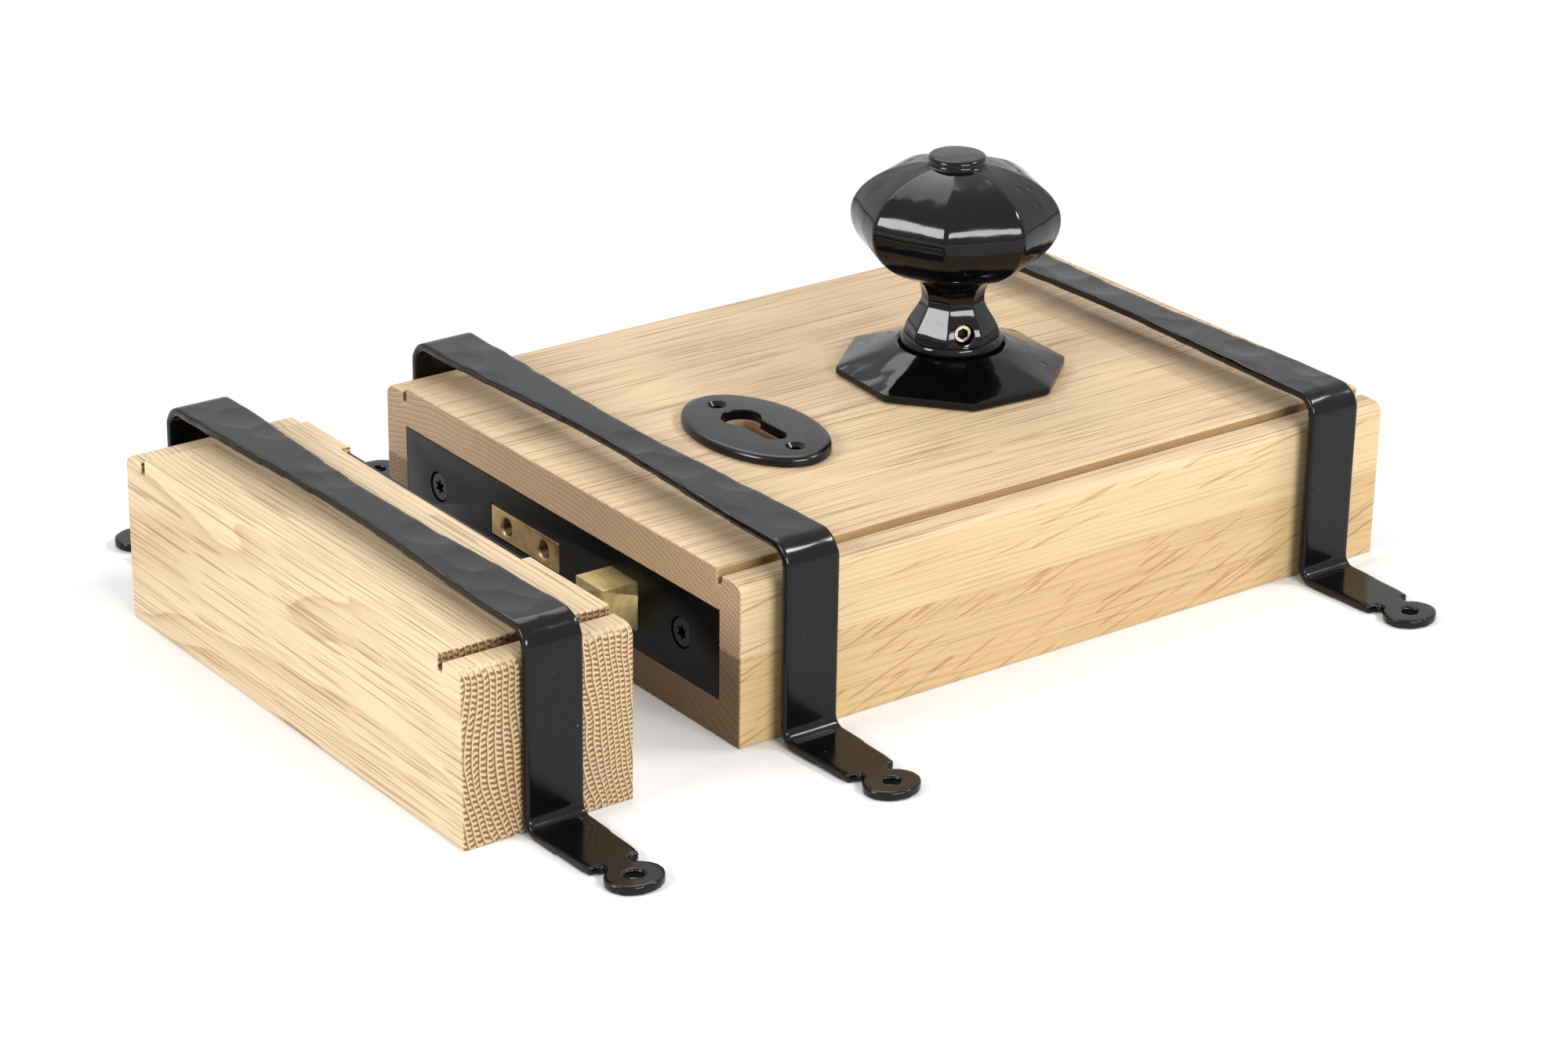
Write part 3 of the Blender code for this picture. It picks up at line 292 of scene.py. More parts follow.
class Effects:
    """Drawings of the shader groups that the finishes share.

    Each takes the group's graph and its inputs by name, and gives its outputs by name. The oak's
    noises have frequencies per metre, along and across the grain.
    """

    WANDER = (5.0, 22.0)
    RIPPLES = (14.0, 160.0)
    SPECKS = (24.0, 1900.0)
    HAIRS = (45.0, 3100.0)
    FIBRES = (10.0, 1150.0)
    TONES = (7.0, 34.0)
    PITS = (210.0, (0.10, 0.34), 75.0, 0.0, (0.66, 0.72))
    DUST = (520.0, (0.07, 0.13), 62.0, 1.0, (0.60, 0.70))
    RIPPLE = 0.5 * MM
    PEEL = 0.004 * MM
    FLECK_BREADTH = 20.0 * MM
    PORE_TINT = (0.38, 0.29, 0.21)
    HOLE_TINT = (0.26, 0.19, 0.14)

    @classmethod
    def oak(cls, graph: Graph, given: dict[str, Wire]) -> dict[str, Wire]:
        """Solid oak: growth rings about the pith, pores, fibres and broad tone.

        Args:
            graph: graph of the group.
            given: its inputs. The vector runs along the grain in X, with the pith as its X axis.

        Returns:
            Colour and height.
        """
        vector = given["Vector"]
        along, across, over = graph.parts(vector)
        reach = graph.length(graph.joined(0.0, across, over))

        def streaks(frequency: Point, *texture: float) -> Wire:
            """Noise drawn out along the grain."""
            return graph.noise(graph.mapped(vector, Scale=(*frequency, frequency[1])), *texture)

        wander = (streaks(cls.WANDER, 2.0) - 0.5) * given["Figure"]
        ripple = (streaks(cls.RIPPLES, 1.0) - 0.5) * cls.RIPPLE
        turns = (wander + ripple + reach) / given["Ring"]
        phase = graph.math("FRACT", turns)
        early = (1.0 - phase) ** 3.2 * phase.step(0.0, 0.06)
        specks = streaks(cls.SPECKS, 0.0).step(0.615, 0.665)
        hairs = streaks(cls.HAIRS, 0.0).step(0.52, 0.62)
        pores = (specks | hairs * 0.25) * (early * 0.15 + 0.85)
        # On end grain the rays cut each ring into rungs, which jump from ring to ring.
        angle = graph.math("ARCTAN2", over, across)
        shift = graph.noise(graph.joined(reach * 420.0, angle * 16.0, along), 1.0, 0.6)
        jump = graph.noise(graph.joined(graph.math("FLOOR", turns) * 7.31, 0.5, 0.5), 0.0)
        rows = angle * given["Rays"] + (shift * 1.6 + jump * 9.0)
        rung = abs(graph.math("FRACT", rows) - 0.5).step(0.20, 0.30, 1.0, 0.0)
        column = phase.step(0.0, 0.10) * phase.step(0.78, 0.95, 1.0, 0.0)
        spine = phase.step(0.0, 0.08) * phase.step(0.14, 0.34, 0.75, 0.0)
        sawn_pores = rung * column | spine
        fibre = streaks(cls.FIBRES, 3.0, 0.65)
        tone = streaks(cls.TONES, 2.0)
        brown = early * given["Rings"] + (fibre - 0.5) * 0.42
        brown = graph.math("ADD", brown, (tone - 0.42) * 0.7, clamp=True)
        colour = graph.mix(brown, given["Pale"], given["Brown"])
        shown = graph.math("MULTIPLY", pores, given["Pores"], clamp=True)
        long_grain = graph.mix(shown, colour, graph.tinted(colour, cls.PORE_TINT))
        sawn = graph.tinted(colour, given["Sawn"])
        sawn = graph.mix(sawn_pores * given["Holes"], sawn, graph.tinted(sawn, cls.HOLE_TINT))
        return {"Color": graph.mix(given["End"], long_grain, sawn), "Height": fibre - pores}

    @classmethod
    def flecks(cls, graph: Graph, given: dict[str, Wire]) -> dict[str, Wire]:
        """Short lens-shaped ray flecks.

        Args:
            graph: graph of the group.
            given: its inputs by name. The vector has X along the fleck.

        Returns:
            Mask of the flecks.
        """
        x, y, z = graph.parts(given["Vector"])
        place = graph.joined(x / given["Length"], y / cls.FLECK_BREADTH, z / given["Width"])
        return {"Mask": graph.noise(place, 1.0).step(given["Spread"], given["Spread"] + 0.035)}

    @classmethod
    def blacked(cls, graph: Graph, given: dict[str, Wire]) -> dict[str, Wire]:
        """Paint over iron: slow dents, fine orange peel, a few pits and specks of dust.

        Args:
            graph: graph of the group.
            given: its inputs.

        Returns:
            Height in metres, a value for the change of gloss and a mask of the dust.
        """
        vector = given["Vector"]

        def spots(cells: float, size: Point, patches: float, detail: float, chosen: Point) -> Wire:
            """Round spots, one to a cell, in the patches where a slow noise is high.

            Args:
                cells: cells per metre.
                size: inner and outer radius, as shares of a cell.
                patches: frequency of the slow noise.
                detail: its detail.
                chosen: values between which a patch starts.

            Returns:
                Mask of the spots.
            """
            away = graph.wire("ShaderNodeTexVoronoi", {"Vector": vector, "Scale": cells, "Randomness": 1.0},
                              "Distance")
            return away.step(*size, 1.0, 0.0) * graph.noise(vector, detail, 0.5, patches).step(*chosen)

        slow = graph.wire("ShaderNodeVectorMath", {0: vector, "Scale": 1.0 / given["Dent Size"]},
                          operation="SCALE")
        height = graph.noise(slow, 1.5, 0.45) * given["Dent Depth"]
        height += graph.noise(vector, 1.0, 0.5, 900.0) * cls.PEEL
        return {"Height": height - spots(*cls.PITS) * given["Pits"],
                "Gloss": graph.noise(vector, 2.0, 0.55, 55.0), "Dust": spots(*cls.DUST)}

    @staticmethod
    def brushed(graph: Graph, given: dict[str, Wire]) -> dict[str, Wire]:
        """Fine draw lines and patches of tarnish on bare metal.

        Args:
            graph: graph of the group.
            given: its inputs by name.

        Returns:
            Height, a gloss value and a mask of the tarnish.
        """
        lines = graph.noise(graph.mapped(given["Vector"], Scale=(2600.0, 60.0, 2600.0)), 2.0, 0.6)
        tarnish = graph.noise(given["Vector"], 3.0, 0.6, 160.0).step(0.42, 0.68)
        return {"Height": lines, "Gloss": lines, "Tarnish": tarnish}


class Finish:
    """Common start of every finish: a material with one Principled shader."""

    name: str

    def material(self) -> bpy.types.Material:
        """Find the finished material, or make it on first use.

        Returns:
            The material.
        """
        label = self.name + "_finish"
        made = bpy.data.materials.get(label)
        if made is None:
            made = bpy.data.materials.new(label)
            made.use_nodes = True
            graph = Graph(made.node_tree)
            place = graph.wires("ShaderNodeTexCoord")
            for key, value in self.draw(graph, place["Object"], place["Normal"]).items():
                graph.feed(made.node_tree.nodes["Principled BSDF"].inputs[key], value)
        return made

    def draw(self, graph: Graph, place: Wire, normal: Wire) -> dict[str, object]:
        """Write the material's nodes.

        Args:
            graph: graph of the material.
            place: coordinates in the piece.
            normal: direction that the surface faces.

        Returns:
            Wires or plain values for the Principled shader, by input name.
        """
        raise NotImplementedError


@dataclass(frozen=True)
class OakFinish(Finish):
    """Planed oak of one board.

    The pith is where the tree's middle lay, in metres across the grain: it sets how the rings
    cross each face. Rays are the end grain's rungs per radian about the pith. Flecks and the side
    tint show on the board's long sides, where side_pores is the share of pores that shows. The side
    tint makes those sides lighter and yellower: partly the side grain's own colour, partly painted
    light.
    """

    name: str
    grain: Grain
    pith: Point
    pale: Colour
    brown: Colour
    ring: float = 1.9 * MM
    figure: float = 9.0 * MM
    pores: float = 0.70
    side_pores: float = 0.35
    flecks: float = 0.0
    fleck_length: float = 16.0 * MM
    fleck_width: float = 1.0 * MM
    fleck_slant: float = math.radians(20.0)
    fleck_spread: float = 0.60
    fleck_tint: Colour = (0.55, 0.42, 0.28)
    sawn: Colour = (0.66, 0.60, 0.56)
    side_tint_and_light: Colour = WHITE
    rings: float = 0.40
    rays: float = 200.0
    holes: float = 0.6
    relief: float = 0.15 * MM

    def draw(self, graph: Graph, place: Wire, normal: Wire) -> dict[str, object]:
        """Write the oak's nodes.

        Args:
            graph: graph of the material.
            place: coordinates in the piece.
            normal: direction that the surface faces.

        Returns:
            Wires or plain values for the Principled shader, by input name.
        """
        x, y, z = graph.parts(place)
        along, across = (x, y) if self.grain is Grain.ALONG_X else (y, x)
        faces = graph.parts(normal)
        edge_on = abs(faces[1]).step(0.7, 0.95)
        oak = graph.effect("oak_solid", Effects.oak, {
            "Vector": graph.joined(along, across - self.pith[0], z - self.pith[1]),
            "Ring": self.ring, "Figure": self.figure,
            "Pores": edge_on.step(0.0, 1.0, self.pores, self.pores * self.side_pores),
            "Pale": self.pale, "Brown": self.brown, "Sawn": self.sawn, "Rings": self.rings,
            "Rays": self.rays, "Holes": self.holes, "End": abs(faces[self.grain.value]).step(0.55, 0.85)})
        colour = oak["Color"]
        if self.flecks > 0.0:
            slanted = graph.mapped(place, Rotation=(0.0, self.fleck_slant, 0.0))
            mask = graph.effect("ray_flecks", Effects.flecks, {
                "Vector": slanted, "Length": self.fleck_length, "Width": self.fleck_width,
                "Spread": self.fleck_spread})["Mask"]
            colour = graph.mix(mask * (edge_on * self.flecks), colour, graph.tinted(colour, self.fleck_tint))
        # Partly painted light: the long sides are tinted lighter and yellower than the top.
        return {"Base Color": graph.mix(edge_on, colour, graph.tinted(colour, self.side_tint_and_light)),
                "Roughness": 0.55, "Specular IOR Level": 0.3,
                "Normal": graph.bump(oak["Height"], 0.35, self.relief)}


@dataclass(frozen=True)
class BlackFinish(Finish):
    """Black paint over iron or steel."""

    name: str
    tone: Colour = (0.0015, 0.0015, 0.0017)
    roughness: float = 0.22
    uneven: float = 0.05
    specular: float = 0.26
    dent_size: float = 9.0 * MM
    dent_depth: float = 0.10 * MM
    pits: float = 0.0
    dust: float = 0.0
    dust_tone: Colour = (0.30, 0.28, 0.25)

    def draw(self, graph: Graph, place: Wire, normal: Wire) -> dict[str, object]:
        """Write the paint's nodes.

        Args:
            graph: graph of the material.
            place: coordinates in the piece.
            normal: direction that the surface faces.

        Returns:
            Wires or plain values for the Principled shader, by input name.
        """
        paint = graph.effect("blacked_iron", Effects.blacked, {
            "Vector": place, "Dent Size": self.dent_size, "Dent Depth": self.dent_depth, "Pits": self.pits})
        colour = self.tone
        if self.dust > 0.0:
            colour = graph.mix(paint["Dust"] * self.dust, self.tone, self.dust_tone)
        gloss = paint["Gloss"].step(0.3, 0.7, self.roughness - self.uneven, self.roughness + self.uneven)
        return {"Base Color": colour, "Roughness": gloss, "Specular IOR Level": self.specular,
                "Normal": graph.bump(paint["Height"], 1.0, 1.0)}


@dataclass(frozen=True)
class MetalFinish(Finish):
    """Bare brass or steel, drawn and slightly tarnished."""

    name: str
    bright: Colour
    dull: Colour
    roughness: float = 0.34
    uneven: float = 0.06
    relief: float = 0.05 * MM

    def draw(self, graph: Graph, place: Wire, normal: Wire) -> dict[str, object]:
        """Write the metal's nodes.

        Args:
            graph: graph of the material.
            place: coordinates in the piece.
            normal: direction that the surface faces.

        Returns:
            Wires or plain values for the Principled shader, by input name.
        """
        metal = graph.effect("brushed_metal", Effects.brushed, {"Vector": place})
        gloss = metal["Gloss"].step(0.3, 0.7, self.roughness - self.uneven, self.roughness + self.uneven)
        return {"Base Color": graph.mix(metal["Tarnish"], self.bright, self.dull), "Metallic": 1.0,
                "Roughness": gloss, "Normal": graph.bump(metal["Height"], 0.25, self.relief)}


class Finishes:
    """All the finishes of the lock. The cut ones are for faces inside a board: darker, partly as rough-cut
    wood and partly as painted shade in grooves and recesses.
    """

    # The side tints below make the long sides lighter and yellower: partly the side grain's colour, partly
    # painted light.
    OAK_FRONT = OakFinish("oak_front", Grain.ALONG_X, (0.030, -0.22), (0.555, 0.415, 0.262),
                          (0.375, 0.252, 0.140), ring=1.5 * MM, flecks=0.55, fleck_length=34 * MM,
                          fleck_width=1.5 * MM, fleck_slant=math.radians(9.0), fleck_spread=0.665,
                          sawn=(0.74, 0.69, 0.66), rays=300.0, side_tint_and_light=(1.05, 1.045, 0.95))
    # Darker oak for faces inside the board: partly rough-cut wood, partly painted shade in the grooves,
    # keyhole and mortise.
    OAK_FRONT_CUT_SHADED = replace(OAK_FRONT, name="oak_front_cut", pale=(0.34, 0.215, 0.110),
                            brown=(0.24, 0.145, 0.070), flecks=0.0)
    OAK_BACK = OakFinish("oak_back", Grain.ALONG_X, (-0.12, 0.10), (0.510, 0.360, 0.198),
                         (0.370, 0.240, 0.120), ring=2.3 * MM, flecks=0.55, fleck_length=19 * MM,
                         fleck_slant=math.radians(19.0), fleck_spread=0.61, sawn=(0.40, 0.36, 0.33),
                         side_tint_and_light=(1.03, 1.02, 0.93))
    OAK_KEEP = OakFinish("oak_keep", Grain.ALONG_Y, (0.06, 0.05), (0.600, 0.470, 0.305),
                         (0.400, 0.275, 0.145), ring=2.0 * MM, figure=16 * MM, rings=0.75, rays=155.0,
                         holes=0.95, sawn=(0.92, 0.86, 0.80))
    # Darker oak for faces inside the keep: partly rough-cut wood, partly painted shade in the grooves and
    # bolt mouths.
    OAK_KEEP_CUT_SHADED = replace(OAK_KEEP, name="oak_keep_cut", pale=(0.36, 0.240, 0.130),
                           brown=(0.24, 0.150, 0.075))
    CAST_BLACK = BlackFinish("cast_black", roughness=0.09, dent_size=10 * MM, dent_depth=0.42 * MM,
                             pits=0.12 * MM)
    FORGED_BLACK = BlackFinish("forged_black", roughness=0.15, dent_size=7 * MM, dent_depth=0.05 * MM,
                               dust=0.6)
    PLATE_BLACK = BlackFinish("plate_black", roughness=0.32, specular=0.12, dent_size=12 * MM,
                              dent_depth=0.02 * MM)
    OVAL_BLACK = BlackFinish("oval_black", specular=0.30, dent_size=8 * MM, dent_depth=0.05 * MM)
    SCREW_BLACK = BlackFinish("screw_black", roughness=0.30, dent_depth=0.01 * MM)
    LATCH_BRASS = MetalFinish("latch_brass", (0.70, 0.565, 0.27), (0.50, 0.39, 0.17), 0.44)
    BOLT_BRASS = MetalFinish("bolt_brass", (0.47, 0.325, 0.150), (0.35, 0.235, 0.11), 0.40)
    # Near-black brass for the walls of the dead bolt's threaded holes: painted shade.
    THREAD_SHADE = MetalFinish("bolt_thread", (0.13, 0.09, 0.045), (0.06, 0.04, 0.02), 0.40)
    STEEL = MetalFinish("steel", (0.55, 0.55, 0.54), (0.40, 0.39, 0.37), 0.30)
    # Near-black steel for the grub screw's hexagon socket: painted shade.
    SOCKET_SHADE = MetalFinish("grub_socket_dark", (0.05, 0.042, 0.035), (0.03, 0.025, 0.02), 0.40)
    NICKEL = MetalFinish("grub_nickel", (0.85, 0.83, 0.79), (0.62, 0.60, 0.56), 0.24)


class Box:
    """Box of one CAD node."""

    def __init__(self, node: str) -> None:
        """Look the box up in the frame."""
        self.low, self.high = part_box(node)
        self.middle = (self.low + self.high) / 2.0

    @property
    def plan(self) -> tuple[Point, Point]:
        """Middle and half sizes in plan, as (x, y), to full precision."""
        return (tuple((self.low[i] + self.high[i]) / 2.0 for i in range(2)),
                tuple((self.high[i] - self.low[i]) / 2.0 for i in range(2)))

    def holds(self, place: Vector, margins: Sequence[float]) -> bool:
        """Whether a place lies inside, by a margin on each of the first axes."""
        return all(self.low[i] + gap < place[i] < self.high[i] - gap for i, gap in enumerate(margins))


def spread(count: int) -> list[float]:
    """Shares from 0 to 1 in even steps, both ends included."""
    return [i / count for i in range(count + 1)]


class Shapes:
    """Mesh building and cutting."""

    SMOOTH = 32.0

    @staticmethod
    def arc(centre: Point, radius: float, first: float, last: float, steps: int) -> list[Point]:
        """Points of an arc, angles in degrees, both ends included."""
        turns = [math.radians(first + (last - first) * part) for part in spread(steps)]
        return [(centre[0] + radius * math.cos(t), centre[1] + radius * math.sin(t)) for t in turns]

    @staticmethod
    def circle(radius: float, steps: int) -> list[Point]:
        """Corners of a closed ring about the origin."""
        turns = [2 * math.pi * i / steps for i in range(steps)]
        return [(radius * math.cos(t), radius * math.sin(t)) for t in turns]

    @staticmethod
    def link(name: str, data: bpy.types.ID) -> bpy.types.Object:
        """Put a mesh, lamp or camera into the scene.

        Args:
            name: name of the object.
            data: its data.

        Returns:
            The new object.
        """
        made = bpy.data.objects.new(name, data)
        bpy.context.scene.collection.objects.link(made)
        return made

    @classmethod
    def piece(cls, name: str, bm: Solid, smooth: float = SMOOTH) -> bpy.types.Object:
        """Turn a bmesh into a scene object.

        Args:
            name: name of the piece.
            bm: its shape, which is freed.
            smooth: angle in degrees above which an edge stays crisp.

        Returns:
            The piece.
        """
        made = cls.link(name, bpy.data.meshes.new(name))
        cls.mend(made, bm)
        cls.shade(made, smooth)
        return made

    @staticmethod
    def mend(piece: bpy.types.Object, bm: Solid) -> None:
        """Write a shape into a piece, with doubles merged and faces turned outwards.

        Args:
            piece: piece whose mesh is written.
            bm: the shape, which is freed.
        """
        bmesh.ops.remove_doubles(bm, verts=bm.verts, dist=MERGE)
        bmesh.ops.recalc_face_normals(bm, faces=bm.faces)
        bm.to_mesh(piece.data)
        bm.free()

    @staticmethod
    def copied(piece: bpy.types.Object) -> Solid:
        """Copy a piece's mesh.

        Args:
            piece: piece that stays as it is.

        Returns:
            The copy.
        """
        bm = bmesh.new()
        bm.from_mesh(piece.data)
        return bm

    @staticmethod
    def shade(piece: bpy.types.Object, smooth: float = SMOOTH) -> None:
        """Shade smooth, with edges sharper than the angle kept crisp."""
        piece.data.shade_smooth()
        piece.data.set_sharp_from_angle(angle=math.radians(smooth))

    @staticmethod
    def settle(piece: bpy.types.Object) -> bpy.types.Object:
        """Turn a piece's modifiers into plain mesh.

        Args:
            piece: piece with modifiers.

        Returns:
            The same piece, without them.
        """
        graph = bpy.context.evaluated_depsgraph_get()
        mesh = bpy.data.meshes.new_from_object(piece.evaluated_get(graph))
        old = piece.data
        piece.modifiers.clear()
        piece.data = mesh
        bpy.data.meshes.remove(old)
        mesh.name = piece.name
        return piece

    @classmethod
    def combine(cls, piece: bpy.types.Object, others: Sequence[bpy.types.Object], operation: str,
                smooth: float = SMOOTH) -> bpy.types.Object:
        """Cut other pieces out of a piece, or join them to it, and take the others away.

        Args:
            piece: piece that stays.
            others: pieces that are used up, in order.
            operation: "DIFFERENCE" or "UNION".
            smooth: angle in degrees above which an edge stays crisp.

        Returns:
            The piece that stays.
        """
        for other in others:
            modifier = piece.modifiers.new(other.name, "BOOLEAN")
            modifier.operation = operation
            modifier.solver = "EXACT"
            modifier.object = other
        cls.settle(piece)
        for other in others:
            bpy.data.objects.remove(other)
        cls.shade(piece, smooth)
        return piece

    @classmethod
    def cut(cls, piece: bpy.types.Object, solids: Sequence[Solid],
            smooth: float = SMOOTH) -> bpy.types.Object:
        """Cut solids out of a piece, as combine() does."""
        return cls.combine(piece, [cls.piece("cutter", bm) for bm in solids], "DIFFERENCE", smooth)

    @classmethod
    def prism(cls, outline: Sequence[Point], first: float, last: float, axis: str = "Z",
              chamfer: float = 0.0) -> Solid:
        """Extrude an outline.

        Args:
            outline: corners, as (x, y) for axis Z and (y, z) for X.
            first: start along the axis.
            last: end along the axis.
            axis: axis of the extrusion, X or Z.
            chamfer: width of the chamfer on the two end edges.

        Returns:
            The closed solid.
        """
        levels = [(outline, first), (outline, last)]
        if chamfer > 0.0:
            small = cls.grown(outline, -chamfer)
            levels = [(small, first), (outline, first + chamfer), (outline, last - chamfer), (small, last)]
        return cls.loft([[Vector((height, a, b) if axis == "X" else (a, b, height)) for a, b in ring]
                         for ring, height in levels])

    @staticmethod
    def block(low: Sequence[float], high: Sequence[float], rounding: float = 0.0, steps: int = 3) -> Solid:
        """Box with rounded edges.

        Args:
            low: lower corner.
            high: upper corner.
            rounding: radius of the edges.
            steps: faces across each edge.

        Returns:
            The closed solid.
        """
        bm = bmesh.new()
        bmesh.ops.create_cube(bm, size=1.0)
        for vert in bm.verts:
            vert.co = Vector([low[i] + (high[i] - low[i]) * (vert.co[i] + 0.5) for i in range(3)])
        if rounding > 0.0:
            bmesh.ops.bevel(bm, geom=bm.edges[:], offset=rounding, segments=steps, profile=0.5,
                            affect="EDGES")
        return bm

    @staticmethod
    def loft(rings: Sequence[Sequence[Vector]], closed: bool = False) -> Solid:
        """Skin a row of rings that all have the same count.

        Args:
            rings: points of each ring.
            closed: whether the last ring joins the first, instead of a cap on both ends.

        Returns:
            The closed solid.
        """
        bm = bmesh.new()
        verts = [[bm.verts.new(point) for point in ring] for ring in rings]
        count = len(verts[0])
        for low, high in zip(verts, verts[1:] + (verts[:1] if closed else [])):
            for i in range(count):
                j = (i + 1) % count
                bm.faces.new((low[i], low[j], high[j], high[i]))
        if not closed:
            bm.faces.new(verts[0][::-1])
            bm.faces.new(verts[-1])
        return bm

    @classmethod
    def turned(cls, profile: Sequence[Point], steps: int, place: Matrix | None = None) -> Solid:
        """Solid of revolution about Z.

        Args:
            profile: (radius, height) points. Both ends are capped.
            steps: faces round the axis.
            place: matrix that sets the solid in its place.

        Returns:
            The closed solid.
        """
        bm = cls.loft([[Vector((*point, height)) for point in cls.circle(radius, steps)]
                       for radius, height in profile])
        return cls.moved(bm, place or Matrix())

    @staticmethod
    def moved(bm: Solid, matrix: Matrix) -> Solid:
        """Place a bmesh by a matrix."""
        bmesh.ops.transform(bm, matrix=matrix, verts=bm.verts)
        return bm

    @staticmethod
    def grown(outline: Sequence[Point], distance: float) -> list[Point]:
        """Offset an outline, its corners along their bisectors.

        Args:
            outline: corners in order.
            distance: small offset, outward if positive.

        Returns:
            As many corners.
        """
        corners = [Vector(point) for point in outline]
        count = len(corners)
        area = sum(corners[i - 1].cross(corners[i]) for i in range(count))
        sign = 1.0 if area > 0.0 else -1.0
        result = []
        for i, corner in enumerate(corners):
            before, after = corner - corners[i - 1], corners[(i + 1) % count] - corner
            first, second = (Vector((side.y, -side.x)).normalized() * sign for side in (before, after))
            middle = (first + second).normalized()
            reach = distance / max(0.5, middle.dot(first))
            result.append((outline[i][0] + middle.x * reach, outline[i][1] + middle.y * reach))
        return result


def dress(piece: bpy.types.Object, finish: Finish, body: Body, *nodes: str, slot: str = "") -> None:
    """Give a piece its finish, its body and the CAD nodes that it stands for.

    Args:
        piece: finished piece, at the origin.
        finish: finish of the whole piece.
        body: body that carries the piece.
        nodes: CAD nodes that the piece replaces.
        slot: material slot, if it isn't the finish's own name; not used.
    """
    piece.data.materials.clear()
    piece.data.materials.append(finish.material())
    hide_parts(*nodes)
    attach(piece, body.value)
    LOG.info("%s: %d polygons", piece.name, len(piece.data.polygons))


def accent(piece: bpy.types.Object, finish: Finish, chosen: Callable[[bpy.types.MeshPolygon], bool]) -> None:
    """Give some faces of a dressed piece a second finish.

    Args:
        piece: dressed piece.
        finish: finish of the chosen faces.
        chosen: test that picks them.
    """
    piece.data.materials.append(finish.material())
    for face in piece.data.polygons:
        if chosen(face):
            face.material_index = 1


@dataclass(frozen=True)
class RailedBoard:
    """Board shared by the case front and the keep: a raised field between two rails."""

    rail_width: float = 8.5 * MM
    rail_round: float = 3.2 * MM
    quirk_width: float = 2.0 * MM
    quirk_depth: float = 3.0 * MM
    field_rise: float = 1.6 * MM
    arris: float = 0.8 * MM
    edge: float = 0.35 * MM
    end_chamfer: float = 0.25 * MM
    upright: float = 0.5

    def outline(self, low: float, high: float, bottom: float, top: float) -> list[Point]:
        """Corners of the cross-section.

        Args:
            low: y of one long side.
            high: y of the other.
            bottom: height of the underside.
            top: height of the raised field.

        Returns:
            Corners as (y, z).
        """
        middle, half = (low + high) / 2.0, (high - low) / 2.0
        rail_top = top - self.field_rise
        inner = half - self.rail_width
        field_edge = inner - self.quirk_width
        floor = rail_top - self.quirk_depth
        side = [(half, bottom)]
        side += Shapes.arc((half - self.rail_round, rail_top - self.rail_round), self.rail_round, 0, 90, 8)
        side += Shapes.arc((inner + self.edge, rail_top - self.edge), self.edge, 90, 180, 3)
        side += [(inner, floor), (field_edge, floor)]
        side += Shapes.arc((field_edge - self.arris, top - self.arris), self.arris, 0, 90, 4)
        mirrored = [(-y, z) for y, z in reversed(side)]
        return [(middle + y, z) for y, z in side + mirrored]

    def build(self, name: str, box: Box, bottom: float) -> bpy.types.Object:
        """Board that fills a CAD box from a given height up."""
        outline = self.outline(box.low.y, box.high.y, bottom, box.high.z)
        return Shapes.piece(name, Shapes.prism(outline, box.low.x, box.high.x, "X", self.end_chamfer))

    def recut_and_shade(self, piece: bpy.types.Object, finish: Finish, box: Box) -> None:
        """Give the upright faces inside a board, left by grooving and cutting, their own finish: darker oak,
        partly rough-cut wood and partly painted shade in the grooves and cuts.
        """
        skin = (self.rail_round, self.rail_round)
        accent(piece, finish, lambda face: box.holds(face.center, skin) and abs(face.normal.z) < self.upright)


@dataclass(frozen=True)
class Keyhole:
    """Keyhole seen in the plate and in the board."""

    eye: float = 5.6 * MM
    slot: float = 6.6 * MM
    drop: float = 19.0 * MM
    rise: float = 6.9 * MM

    def outline(self) -> list[Point]:
        """Draw the keyhole about the middle of its plate.

        Returns:
            Corners as (x, y).
        """
        x, y = Box("escutcheon").plan[0]
        y, half = y + self.rise, self.slot / 2.0
        start = math.degrees(math.asin(half / self.eye))
        eye = Shapes.arc((x, y), self.eye, -90.0 + start, 270.0 - start, 40)
        return eye + Shapes.arc((x, y - self.drop + half), half, 180.0, 360.0, 12)


